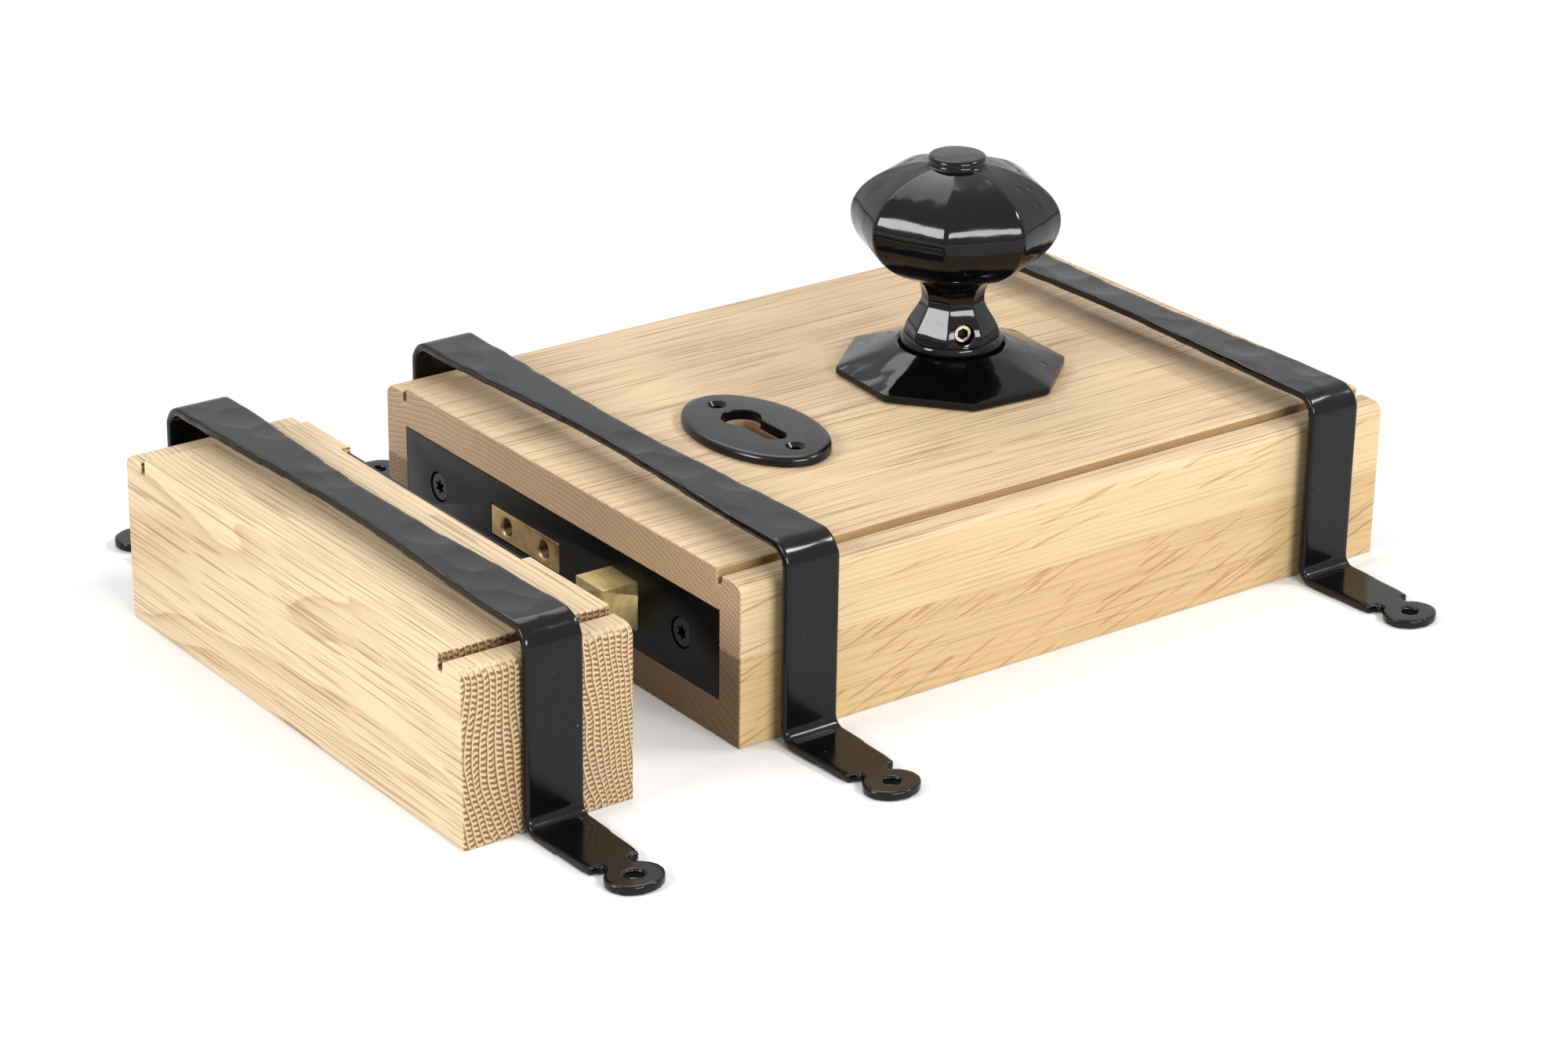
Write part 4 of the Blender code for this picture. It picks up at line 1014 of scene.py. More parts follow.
@dataclass(frozen=True)
class OakCase:
    """The two oak boards of the lock."""

    board: RailedBoard = RailedBoard()
    keyhole: Keyhole = Keyhole()
    key_cut: Point = (20.0 * MM, 60.0 * MM)
    fit: float = 0.25 * MM
    seam: float = 0.02 * MM
    overlap: float = 1.0 * MM
    bore: float = 9.0 * MM
    bore_cut: Point = (-10.0 * MM, 70.0 * MM)

    def build(self) -> None:
        """Make both boards, cut them for the lock, and dress them."""
        front_box, back_box = Box("case_front_board"), Box("case_back_board")
        low, high = back_box.low, back_box.high
        front = self.board.build("case_front", front_box, high.z + self.seam)
        outline = [(low.y, 0.0), (high.y, 0.0), (high.y, high.z), (low.y, high.z)]
        back = Shapes.piece("case_back", Shapes.prism(outline, low.x, high.x, "X", self.board.end_chamfer))
        Shapes.cut(front, [Shapes.prism(self.keyhole.outline(), *self.key_cut), *self.cutters()])
        Shapes.cut(back, self.cutters())
        dress(front, Finishes.OAK_FRONT, Body.LOCK, "case_front_board")
        # Faces inside the board get a darker oak: partly rough-cut wood, partly painted shade.
        self.board.recut_and_shade(front, Finishes.OAK_FRONT_CUT_SHADED, front_box)
        dress(back, Finishes.OAK_BACK, Body.LOCK, "case_back_board")

    def cutters(self) -> list[Solid]:
        """Make the cutters for one board.

        Returns:
            Room for the forend, for the lock's mortise and for the spindle.
        """
        plate, case, cap, spindle = map(Box, ("forend_plate", "lock_case", "lock_cap", "spindle"))
        room = Vector((0.0, self.fit, self.fit))
        forend = Shapes.block(plate.low - room - Vector((PAST, 0, 0)), plate.high + room)
        side = Vector((self.fit, self.fit, self.fit))
        low, high = case.low - side, case.high + side
        low.x = plate.high.x - self.overlap
        high.z = max(case.high.z, cap.high.z) + self.fit
        bore = Shapes.turned([(self.bore, height) for height in self.bore_cut], 48,
                             Matrix.Translation((spindle.middle.x, spindle.middle.y, 0.0)))
        return [forend, Shapes.block(low, high), bore]


@dataclass(frozen=True)
class OakKeep:
    """The keep's oak block with its let-in strike."""

    board: RailedBoard = RailedBoard()
    fit: float = 0.25 * MM
    strike_edge: float = 0.3 * MM
    strike_sink: float = 1.3 * MM
    notch_room: float = 0.8 * MM
    mouth_room: float = 1.0 * MM
    latch_depth: float = 13.0 * MM
    dead_depth: float = 16.0 * MM

    def build(self) -> None:
        """Make the block and the strike."""
        box, plate = Box("keep_block"), Box("keep_strike")
        low, high = plate.low, plate.high
        seat = Shapes.block(low - Vector((self.fit + self.notch_room, self.fit, self.fit)),
                            high + Vector((PAST, self.fit, PAST)))
        high.z -= self.strike_sink
        low.x -= self.notch_room
        mouths = []
        for bolt, depth in (("latch_bolt", self.latch_depth), ("dead_bolt", self.dead_depth)):
            head = Box(bolt)
            room = Vector((0.0, self.mouth_room, self.mouth_room))
            near, far = head.low - room, head.high + room
            near.x, far.x = low.x - depth, high.x + PAST
            mouths.append((near, far))
        block = self.board.build("keep_body", box, box.low.z)
        Shapes.cut(block, [seat, *(Shapes.block(*mouth) for mouth in mouths)])
        strike = Shapes.piece("strike_plate", Shapes.block(low, high, self.strike_edge, 2))
        Shapes.cut(strike, [Shapes.block(*mouth) for mouth in mouths])
        dress(block, Finishes.OAK_KEEP, Body.KEEP, "keep_block")
        # Faces inside the keep get a darker oak: partly rough-cut wood, partly painted shade.
        self.board.recut_and_shade(block, Finishes.OAK_KEEP_CUT_SHADED, box)
        dress(strike, Finishes.PLATE_BLACK, Body.KEEP, "keep_strike")


@dataclass(frozen=True)
class ForgedStrap:
    """One forged strap: a flat blank with shaped ends, bent over the wood.

    The blank is drawn flat, tessellated evenly, and then bent along the strap's path, so that
    its edges stay worn and its hammered face follows the bends.
    """

    node: str
    body: Body
    seed: float
    width: float = 17.2 * MM
    waist: float = 11.6 * MM
    thickness: float = 2.5 * MM
    top_bend: float = 7.0 * MM
    foot_bend: float = 3.0 * MM
    foot: float = 26.0 * MM
    foot_end: float = 15.2 * MM
    foot_taper: float = 2.0 * MM
    corner: float = 0.5 * MM
    neck: float = 8.4 * MM
    notch: float = 1.7 * MM
    notch_share: float = 0.4
    pad_width: float = 16.0 * MM
    pad_length: float = 13.6 * MM
    pad_start: float = -58.0
    hole: float = 2.3 * MM
    voxel: float = 0.55 * MM
    hammer: float = 0.45 * MM
    side_hammer: float = 0.12
    edge_wave: float = 0.036

    @property
    def reach(self) -> float:
        """Distance from the leg's outer face to the tip of the pad."""
        return self.foot + self.notch + self.pad_length

    def legs(self) -> Point:
        """Outer faces of the two legs, as y."""
        box = Box(self.node)
        return box.low.y + self.reach, box.high.y - self.reach

    def run(self) -> list[float]:
        """Measure the near half's stretches along the middle of the thickness.

        Returns:
            Lengths of the foot, its bend, the leg, the top bend and half the top.
        """
        near, far = self.legs()
        middle = self.thickness / 2.0
        return [self.reach - self.foot_bend,
                (self.foot_bend + middle) * QUARTER,
                Box(self.node).high.z - self.top_bend - self.thickness - self.foot_bend,
                (self.top_bend - middle) * QUARTER,
                (far - near) / 2.0 - self.top_bend]

    def blank(self) -> list[Point]:
        """Draw the flat blank.

        Returns:
            Corners as (across, along), with the strap's middle at 0 along.
        """
        lengths = self.run()
        total = sum(lengths)
        swell = self.width - self.waist
        side = [((self.waist + swell * math.sin(part * QUARTER) ** 2) / 2.0, lengths[4] * part)
                for part in spread(20)]
        heel = total - self.reach
        shoulder = heel + self.foot
        side += [(self.width / 2.0, heel + self.foot_bend + self.foot_taper),
                 (self.foot_end / 2.0, shoulder - self.corner),
                 (self.foot_end / 2.0 - self.corner, shoulder),
                 (self.neck / 2.0, shoulder),
                 (self.neck / 2.0, shoulder + self.notch * self.notch_share)]
        centre = total - self.pad_length / 2.0
        side += [(self.pad_width / 2.0 * x, centre + self.pad_length / 2.0 * y)
                 for x, y in Shapes.arc((0.0, 0.0), 1.0, self.pad_start, 90.0, 24)]
        side = [point for point in side if point[0] > 1e-6]
        far_end = side + [(-a, s) for a, s in reversed(side)]
        near_end = [(-a, -s) for a, s in side] + [(a, -s) for a, s in reversed(side)]
        return far_end + near_end[1:-1]

    def flat(self) -> bpy.types.Object:
        """Make the flat blank with worn edges and fixing holes.

        Returns:
            The blank, evenly tessellated.
        """
        half = self.thickness / 2.0
        piece = Shapes.piece(self.node + "_forged", Shapes.prism(self.blank(), -half, half))
        place = sum(self.run()) - self.pad_length / 2.0
        Shapes.cut(piece, [Shapes.turned([(self.hole, -2.0 * half), (self.hole, 2.0 * half)], 40,
                                         Matrix.Translation((0.0, y, 0.0))) for y in (-place, place)])
        remesh = piece.modifiers.new("even", "REMESH")
        remesh.mode = "VOXEL"
        remesh.voxel_size = self.voxel
        smooth = piece.modifiers.new("worn", "SMOOTH")
        smooth.iterations = 5
        smooth.factor = 0.5
        return Shapes.settle(piece)

    def half_path(self, along: float, near: float, height: float,
                  run: Sequence[float]) -> tuple[Point, Point]:
        """Follow the near half of the strap's path.

        Args:
            along: distance from the near pad's tip.
            near: y of the near leg's outer face.
            height: height of the strap's top.
            run: lengths of the path's stretches.

        Returns:
            Place and outward normal there, as (y, z).
        """
        middle = self.thickness / 2.0
        foot, first, leg, second = run[:4]
        if along < foot:
            return (near - self.reach + along, middle), (0.0, 1.0)
        along -= foot
        if along < first:
            radius = self.foot_bend + middle
            turn = along / radius - QUARTER
            ray = (math.cos(turn), math.sin(turn))
            y, z = near - self.foot_bend, self.thickness + self.foot_bend
            return (y + radius * ray[0], z + radius * ray[1]), (-ray[0], -ray[1])
        along -= first
        if along < leg:
            return (near + middle, self.thickness + self.foot_bend + along), (-1.0, 0.0)
        along -= leg
        if along < second:
            radius = self.top_bend - middle
            turn = math.pi - along / radius
            ray = (math.cos(turn), math.sin(turn))
            return (near + self.top_bend + radius * ray[0], height - self.top_bend + radius * ray[1]), ray
        return (near + self.top_bend + along - second, height - middle), (0.0, 1.0)

    def dent(self, across: float, along: float, flatness: float) -> float:
        """Depth of the hammer's marks at a place on the blank.

        Args:
            across: distance from the blank's middle line.
            along: distance from its middle.
            flatness: share of the hammering that shows there.

        Returns:
            Depth in metres.
        """
        broad = noise.noise(Vector((across * 55.0, along * 38.0, self.seed)))
        cell = noise.voronoi(Vector((across * 70.0, along * 62.0, self.seed)))[0][0]
        crater = max(0.0, 1.0 - (cell / 0.55) ** 2)
        return self.hammer * flatness * (0.35 * (broad + 1.0) / 2.0 + 0.65 * crater)

    def wave(self, across: float, along: float) -> float:
        """Waviness of the blank's edges.

        Args:
            across: distance from the blank's middle line, whose sign picks the edge.
            along: distance from its middle.

        Returns:
            Share by which that edge draws in.
        """
        slow = noise.noise(Vector((along * 52.0, math.copysign(3.0, across), self.seed)))
        fast = noise.noise(Vector((along * 170.0, math.copysign(5.0, across), self.seed)))
        return self.edge_wave * max(0.0, 1.0 + (slow + 0.6 * fast))

    def build(self) -> None:
        """Bend the blank and dress it."""
        box, (near, far) = Box(self.node), self.legs()
        piece = self.flat()
        run = self.run()
        total = sum(run)
        for vert in piece.data.vertices:
            across, along, height = vert.co
            walked = total - abs(along)
            (y, z), normal = self.half_path(min(max(walked, 0.0), total - 1e-9), near, box.high.z, run)
            top = max(0.0, normal[1]) if walked > 0.5 * total else 0.0
            outer = max(0.0, min(1.0, height / (self.thickness / 2.0)))
            height -= self.dent(across, along, self.side_hammer + (1.0 - self.side_hammer) * top) * outer
            across *= 1.0 - top * self.wave(across, along)
            y += normal[0] * height
            z += normal[1] * height
            vert.co = (box.middle.x + across, near + far - y if along > 0.0 else y, z)
        Shapes.mend(piece, Shapes.copied(piece))
        piece.data.shade_smooth()
        dress(piece, Finishes.FORGED_BLACK, self.body, self.node)


class Trees:
    """Geometry node trees for what follows a rule or repeats."""

    @staticmethod
    def dressed(graph: Graph, shape: Wire, given: dict[str, Wire]) -> dict[str, Wire]:
        """End a tree with real mesh in the given material.

        Args:
            graph: graph of the tree.
            shape: geometry, with or without instances.
            given: the tree's inputs by name.

        Returns:
            The tree's output.
        """
        real = graph.wire("GeometryNodeRealizeInstances", {"Geometry": shape})
        return {"Geometry": graph.wire("GeometryNodeSetMaterial",
                                       {"Geometry": real, "Material": given["Material"]})}

    @classmethod
    def sweep(cls, graph: Graph, given: dict[str, Wire]) -> dict[str, Wire]:
        """Regular section swept along a line, scaled by the line's girth attribute.

        Args:
            graph: graph of the tree.
            given: its inputs by name.

        Returns:
            The swept mesh.
        """
        line = graph.wire("GeometryNodeMeshToCurve", {"Mesh": given["Geometry"]})
        girth = graph.wire("GeometryNodeInputNamedAttribute", {"Name": "girth"}, data_type="FLOAT")
        section = graph.wire("GeometryNodeCurvePrimitiveCircle",
                             {"Resolution": given["Sides"], "Radius": 1.0})
        soft = graph.wire("GeometryNodeFilletCurve",
                          {"Curve": section, "Count": 5, "Radius": given["Fillet"]}, mode="POLY")
        turned = graph.wire("GeometryNodeTransform",
                            {"Geometry": soft, "Rotation": graph.joined(0.0, 0.0, given["Turn"])})
        mesh = graph.wire("GeometryNodeCurveToMesh",
                          {"Curve": line, "Scale": girth, "Profile Curve": turned, "Fill Caps": True})
        return cls.dressed(graph, mesh, given)

    @classmethod
    def screws(cls, graph: Graph, given: dict[str, Wire]) -> dict[str, Wire]:
        """One screw set on every point, turned by the point's facing attribute.

        Args:
            graph: graph of the tree.
            given: its inputs by name.

        Returns:
            The mesh of all screws.
        """
        points = graph.wire("GeometryNodeMeshToPoints", {"Mesh": given["Geometry"]})
        screw = graph.wire("GeometryNodeObjectInfo", {"Object": given["Screw"], "As Instance": True},
                           "Geometry", transform_space="ORIGINAL")
        facing = graph.wire("GeometryNodeInputNamedAttribute", {"Name": "facing"}, data_type="FLOAT_VECTOR")
        placed = graph.wire("GeometryNodeInstanceOnPoints", {
            "Points": points, "Instance": screw,
            "Rotation": graph.wire("FunctionNodeEulerToRotation", {0: facing})})
        return cls.dressed(graph, placed, given)

    @staticmethod
    def grow(name: str, points: Sequence, edges: Sequence, attribute: tuple[str, str, list[float]],
             tree: bpy.types.NodeTree, inputs: dict[str, object]) -> bpy.types.Object:
        """Run a tree on a bare line or on bare points.

        Args:
            name: name of the piece.
            points: places of the points.
            edges: pairs of points that are joined.
            attribute: name, data type and flat values of the points' attribute.
            tree: geometry tree.
            inputs: values for its inputs by name.

        Returns:
            The piece, as plain mesh.
        """
        mesh = bpy.data.meshes.new(name)
        mesh.from_pydata(points, edges, [])
        label, kind, values = attribute
        data = mesh.attributes.new(label, kind, "POINT").data
        data.foreach_set("value" if kind == "FLOAT" else "vector", values)
        piece = Shapes.link(name, mesh)
        modifier = piece.modifiers.new("grow", "NODES")
        modifier.node_group = tree
        for item in tree.interface.items_tree:
            if item.in_out == "INPUT" and item.name in inputs:
                modifier[item.identifier] = inputs[item.name]
        return Shapes.settle(piece)


@dataclass(frozen=True)
class KnobSet:
    """Cast octagonal knob, its rose and the grub screw.

    The knob is an eight-sided section swept up the spindle's axis, its girth following a profile.
    Heights are over the case's face.
    """

    sides: int = 8
    fillet: float = 0.085
    turn: float = math.radians(1.3)
    crisp: float = 24.0
    tip: float = 0.5 * MM
    seat: float = 0.02 * MM
    shank: float = 14.5 * MM
    collar: float = 14.8 * MM
    collar_low: float = 8.2 * MM
    collar_high: float = 11.7 * MM
    collar_steps: int = 96
    flare: float = 13.9 * MM
    flare_curve: float = 1.6
    neck: float = 9.1 * MM
    neck_low: float = 22.6 * MM
    neck_high: float = 29.4 * MM
    neck_top: float = 10.4 * MM
    cove: float = 12.0 * MM
    cove_rise: float = 0.1 * MM
    cove_step: float = 1.0 * MM
    cove_curve: float = 2.4
    bulb: float = 30.3 * MM
    bulb_height: float = 47.25 * MM
    button: float = 8.4 * MM
    button_step: float = 2.7 * MM
    button_flare: float = 1.2 * MM
    button_round: float = 1.2 * MM
    square_room: float = 0.3 * MM
    hole: float = 3.1 * MM
    hole_span: Point = (2.0 * MM, 22.0 * MM)
    grub_turn: float = math.radians(248.8)
    grub_room: float = 0.3 * MM
    grub_inset: float = 0.9 * MM
    grub_chamfer: float = 0.4 * MM
    hexagon: float = 1.75 * MM
    hexagon_depth: float = 2.2 * MM
    rose_turn: float = math.radians(17.7)
    rose_corner: float = 33.9 * MM
    rose_rim: float = 2.6 * MM
    rose_arris: float = 0.7 * MM
    rose_hole: float = 15.2 * MM
    rose_lip: float = 16.4 * MM
    rose_steps: int = 192
    rose_sharp: float = 120.0

    def profile(self, base: float, top: float) -> list[Point]:
        """Girth against height of the knob's eight-sided part.

        Args:
            base: height of the case's face.
            top: height of the knob's top.

        Returns:
            (girth, height) points from the collar up.
        """
        start, end = base + self.collar_high, base + self.neck_low
        cove = base + self.neck_high + self.cove_rise
        middle, shoulder = base + self.bulb_height, top - self.button_step
        drop, foot = self.neck_high - self.bulb_height, math.acos(self.neck_top / self.bulb)
        under = math.acos((self.cove + self.cove_step) / self.bulb)
        crown = math.acos((self.button + self.button_flare) / self.bulb)

        def bulge(turn: float, height: float, limit: float) -> Point:
            """Point of the bulb, on an ellipse that has the height at the limit."""
            return self.bulb * math.cos(turn), middle + height * math.sin(turn) / math.sin(limit)

        points = [(self.flare - 0.5 * MM, start - 0.4 * MM)]
        points += [(self.neck + (self.flare - self.neck) * math.cos(part * QUARTER) ** self.flare_curve,
                    start + (end - start) * part) for part in spread(16)]
        points += [(self.neck + (self.cove - self.neck) * part ** self.cove_curve, end + (cove - end) * part)
                   for part in spread(12)[1:]]
        points += [bulge(under * (1.0 - part), drop, foot) for part in spread(26)]
        points += [bulge(crown * part, shoulder - middle, crown) for part in spread(26)[1:]]
        return points + [(self.tip, shoulder + self.seat)]

    def button_profile(self, top: float) -> list[Point]:
        """Girth against height of the round button on the crown.

        Args:
            top: height of the button's top.

        Returns:
            (girth, height) points from the foot up.
        """
        foot, flare, bend = top - self.button_step, self.button_flare, self.button_round
        points = [(self.button + flare, foot - 1.0 * MM)]
        points += [(self.button + flare * (1.0 - math.sin(part * QUARTER)),
                    foot + flare * (1.0 - math.cos(part * QUARTER))) for part in spread(6)]
        points += [(self.button - bend * (1.0 - math.cos(part * QUARTER)),
                    top - bend * (1.0 - math.sin(part * QUARTER))) for part in spread(7)]
        return points + [(self.tip, top)]

    def collar_profile(self, base: float, low: float) -> list[Point]:
        """Girth against height of the shank and the round collar.

        Args:
            base: height of the case's face.
            low: height of the shank's end.

        Returns:
            (girth, height) points from the shank's end up.
        """
        ring = 0.5 * (self.collar_high - self.collar_low)
        middle = base + self.collar_low + ring
        points = [(self.shank, low), (self.shank, base + self.collar_low)]
        points += [(self.collar - 0.5 * ring + 0.5 * ring * math.cos(turn), middle + ring * math.sin(turn))
                   for turn in (math.pi * (part - 0.5) for part in spread(8))]
        return points + [(self.flare - 1.0 * MM, base + self.collar_high + self.seat)]

    def swept(self, name: str, profile: Sequence[Point], axis: Vector, sides: int,
              fillet: float = 0.0) -> bpy.types.Object:
        """Sweep a regular section up an axis.

        Args:
            name: name of the piece.
            profile: (girth, height) points.
            axis: place of the axis.
            sides: corners of the section.
            fillet: round of its corners, as a share of the girth.

        Returns:
            The swept solid.
        """
        kinds = {"Geometry": "Geometry", "Sides": "Int", "Fillet": "Float", "Turn": "Float",
                 "Material": "Material"}
        tree = grouped("swept_section", "Geometry", kinds, Trees.sweep)
        piece = Trees.grow(name, [(axis.x, axis.y, height) for _, height in profile],
                           [(i, i + 1) for i in range(len(profile) - 1)],
                           ("girth", "FLOAT", [radius for radius, _ in profile]), tree,
                           {"Sides": sides, "Fillet": fillet, "Turn": self.turn,
                            "Material": Finishes.CAST_BLACK.material()})
        Shapes.mend(piece, Shapes.copied(piece))
        return piece

    def build(self) -> None:
        """Make the knob, the grub screw and the rose."""
        box, spindle, grub = Box("knob"), Box("spindle"), Box("grub_screw")
        axis = spindle.middle
        base = Box("case_front_board").high.z
        knob = self.swept("knob_cast", self.profile(base, box.high.z), axis, self.sides, self.fillet)
        rounds = [self.swept("knob_collar", self.collar_profile(base, box.low.z), axis, self.collar_steps),
                  self.swept("knob_button", self.button_profile(box.high.z), axis, self.collar_steps)]
        Shapes.combine(knob, rounds, "UNION", self.crisp)
        lean = (Matrix.Translation((axis.x, axis.y, grub.middle.z)) @ Matrix.Rotation(self.grub_turn, 4, "Z")
                @ Matrix.Rotation(QUARTER, 4, "Y"))
        room = self.square_room
        square = Shapes.block((spindle.low.x - room, spindle.low.y - room, box.low.z - PAST),
                              (spindle.high.x + room, spindle.high.y + room, spindle.high.z + room))
        drill = Shapes.turned([(self.hole, reach) for reach in self.hole_span], 40, lean)
        Shapes.cut(knob, [drill, square], self.crisp)
        dress(knob, Finishes.CAST_BLACK, Body.KNOB, "knob")
        self.grub(lean, axis, grub)
        self.rose(axis)

    def grub(self, lean: Matrix, axis: Vector, box: Box) -> None:
        """Make the socket grub screw in the knob's neck.

        Args:
            lean: matrix that turns +Z out along the screw.
            axis: place of the knob's axis.
            box: box of the CAD screw.
        """
        away = Vector((math.cos(self.grub_turn), math.sin(self.grub_turn)))
        reaches = [Vector((x - axis.x, y - axis.y)).dot(away)
                   for x in (box.low.x, box.high.x) for y in (box.low.y, box.high.y)]
        outer, inner = max(reaches) - self.grub_inset, min(reaches) + self.grub_inset
        radius, worn = self.hole - self.grub_room, self.grub_chamfer
        shape = Shapes.turned([(radius, inner), (radius, outer - worn), (radius - worn, outer)], 40, lean)
        screw = Shapes.piece("grub_socket", shape)
        key = Shapes.prism(Shapes.circle(self.hexagon, 6), outer - self.hexagon_depth, outer + 1.0 * MM)
        Shapes.cut(screw, [Shapes.moved(key, lean)])
        dress(screw, Finishes.NICKEL, Body.KNOB, "grub_screw", slot="steel")
        upright = lean.inverted()
        bottom, mouth = outer - self.hexagon_depth - 0.1 * MM, outer - 0.05 * MM

        def in_socket(face: bpy.types.MeshPolygon) -> bool:
            """Whether a face lies in the hexagon."""
            place = upright @ face.center
            return math.hypot(place.x, place.y) < self.hexagon and bottom < place.z < mouth

        # Painted shade: the hexagon socket's faces get a near-black finish.
        accent(screw, Finishes.SOCKET_SHADE, in_socket)

    def rose(self, axis: Vector) -> None:
        """Make the octagonal rose, whose facets run out into a round hole.

        Args:
            axis: place of the knob's axis.
        """
        box = Box("rose")
        low, high, rim, arris = box.low.z, box.high.z, box.low.z + self.rose_rim, self.rose_arris
        outer, lip, eave = self.rose_corner - arris, self.rose_lip + 0.4 * MM, high - 0.15 * MM
        edge = ((-0.5 * MM, low), (0.0, low + 0.5 * MM), (0.0, rim - arris), (-0.2 * MM, rim - 0.25 * MM),
                (-arris, rim))
        levels = [(self.rose_corner + inset, 1.0, height) for inset, height in edge]
        levels += [(outer * (1.0 - part) + lip * part, 1.0 - part ** 1.5, rim + (eave - rim) * part)
                   for part in spread(12)[1:]]
        levels += [(self.rose_lip - 0.1 * MM, 0.0, high), (self.rose_hole + 0.4 * MM, 0.0, high - 0.1 * MM),
                   (self.rose_hole, 0.0, high - 0.5 * MM), (self.rose_hole, 0.0, low)]
        bm = Shapes.loft([self.octagon(axis, *level) for level in levels], closed=True)
        dress(Shapes.piece("rose_cast", bm, self.crisp), Finishes.CAST_BLACK, Body.LOCK, "rose")

    def octagon(self, axis: Vector, radius: float, share: float, height: float) -> list[Vector]:
        """Ring between a circle and a soft-cornered octagon.

        Args:
            axis: place of the ring's axis.
            radius: distance to its corners.
            share: 0 for the circle, 1 for the octagon.
            height: height of the ring.

        Returns:
            Points of the ring.
        """
        ring = []
        for i in range(self.rose_steps):
            turn = 2.0 * math.pi * i / self.rose_steps
            total = sum(max(0.0, math.cos(turn - (k + 0.5) * 2.0 * math.pi / self.sides)) ** self.rose_sharp
                        for k in range(self.sides))
            eight = math.cos(math.pi / self.sides) / total ** (1.0 / self.rose_sharp)
            reach = radius * (1.0 + (eight - 1.0) * share)
            ring.append(Vector((axis.x + reach * math.cos(turn + self.rose_turn),
                                axis.y + reach * math.sin(turn + self.rose_turn), height)))
        return ring


@dataclass(frozen=True)
class ScrewSet:
    """Countersunk star-recess screws, all of one size, set by one node tree.

    Facing is -1 for heads that look along -X and 1 for +X.
    """

    name: str
    nodes: tuple[str, ...]
    body: Body
    facing: float
    head: float = 4.2 * MM
    rim: float = 0.5 * MM
    worn: float = 0.35 * MM
    taper: float = 0.9
    shank: float = 2.0 * MM
    star: float = 1.75 * MM
    star_lobe: float = 0.50 * MM
    star_depth: float = 1.7 * MM
    star_lobes: int = 6
    star_steps: int = 60

    def template(self, length: float) -> bpy.types.Object:
        """Make one screw.

        Args:
            length: its whole length.

        Returns:
            The screw, with its head's face at the origin, facing +Z.
        """
        shape = Shapes.turned([(self.shank, -length),
                               (self.shank, -self.rim - (self.head - self.shank) * self.taper),
                               (self.head, -self.rim), (self.head, -self.rim / 2.0),
                               (self.head - self.worn, 0.0)], 48)
        star = []
        for turn in (2.0 * math.pi * i / self.star_steps for i in range(self.star_steps)):
            reach = self.star + self.star_lobe * math.cos(self.star_lobes * turn)
            star.append((reach * math.cos(turn), reach * math.sin(turn)))
        screw = Shapes.piece(self.name + "_one", shape)
        return Shapes.cut(screw, [Shapes.prism(star, -self.star_depth, 1.0 * MM)])

    def build(self) -> None:
        """Set the screws where the CAD ones stand."""
        boxes = [Box(node) for node in self.nodes]
        points = [((box.low if self.facing < 0.0 else box.high).x, box.middle.y, box.middle.z)
                  for box in boxes]
        screw = self.template(min(box.high.x - box.low.x for box in boxes))
        tree = grouped("screw_set", "Geometry",
                       {"Geometry": "Geometry", "Screw": "Object", "Material": "Material"}, Trees.screws)
        piece = Trees.grow(self.name, points, [],
                           ("facing", "FLOAT_VECTOR", [0.0, self.facing * QUARTER, 0.0] * len(boxes)), tree,
                           {"Screw": screw, "Material": Finishes.SCREW_BLACK.material()})
        bpy.data.objects.remove(screw)
        Shapes.shade(piece)
        dress(piece, Finishes.SCREW_BLACK, self.body, *self.nodes)


@dataclass(frozen=True)
class KeyholePlate:
    """Oval keyhole plate with two empty screw holes.

    The rim's steps are (inset, rise) in millimetres, and those of the keyhole's worn edge are
    (growth, depth) in lips.
    """

    keyhole: Keyhole = Keyhole()
    rim: tuple[Point, ...] = ((0.25, 0.0), (0.0, 0.25), (0.0, 1.5), (0.2, 2.1), (0.6, 2.5), (1.2, 2.72),
                              (2.0, 2.8))
    rim_steps: int = 128
    lip: float = 0.7 * MM
    lip_steps: tuple[Point, ...] = ((0.0, 1.0), (0.12, 0.35), (0.45, 0.05))
    lip_past: float = 0.3 * MM
    screw_offset: float = 18.5 * MM
    screw_hole: float = 1.8 * MM
    sink: float = 1.1 * MM
    past: float = 1.0 * MM

    def build(self) -> None:
        """Make the plate, cut it and dress it."""
        box = Box("escutcheon")
        low, high = box.low, box.high
        centre, half = box.plan
        rings = []
        for inset, rise in self.rim:
            wide, tall = half[0] - inset * MM, half[1] - inset * MM
            height = low.z + min(high.z - low.z, rise * MM)
            rings.append([Vector((centre[0] + wide * x, centre[1] + tall * y, height))
                          for x, y in Shapes.circle(1.0, self.rim_steps)])
        plate = Shapes.piece("keyhole_plate", Shapes.loft(rings))
        levels = [(0.0, low.z - self.past),
                  *((grow, high.z - depth * self.lip) for grow, depth in self.lip_steps),
                  (1.0, high.z + self.lip_past)]
        cutters = [Shapes.loft([[Vector((*point, height))
                                 for point in Shapes.grown(self.keyhole.outline(), grow * self.lip)]
                                for grow, height in levels])]
        wide = self.screw_hole + self.sink
        drill = [(self.screw_hole, low.z - self.past), (self.screw_hole, high.z - self.sink), (wide, high.z),
                 (wide, high.z + self.past)]
        cutters += [Shapes.turned(drill, 40, Matrix.Translation((centre[0], centre[1] + offset, 0.0)))
                    for offset in (-self.screw_offset, self.screw_offset)]
        Shapes.cut(plate, cutters)
        dress(plate, Finishes.OVAL_BLACK, Body.LOCK, "escutcheon", slot=Finishes.PLATE_BLACK.name)


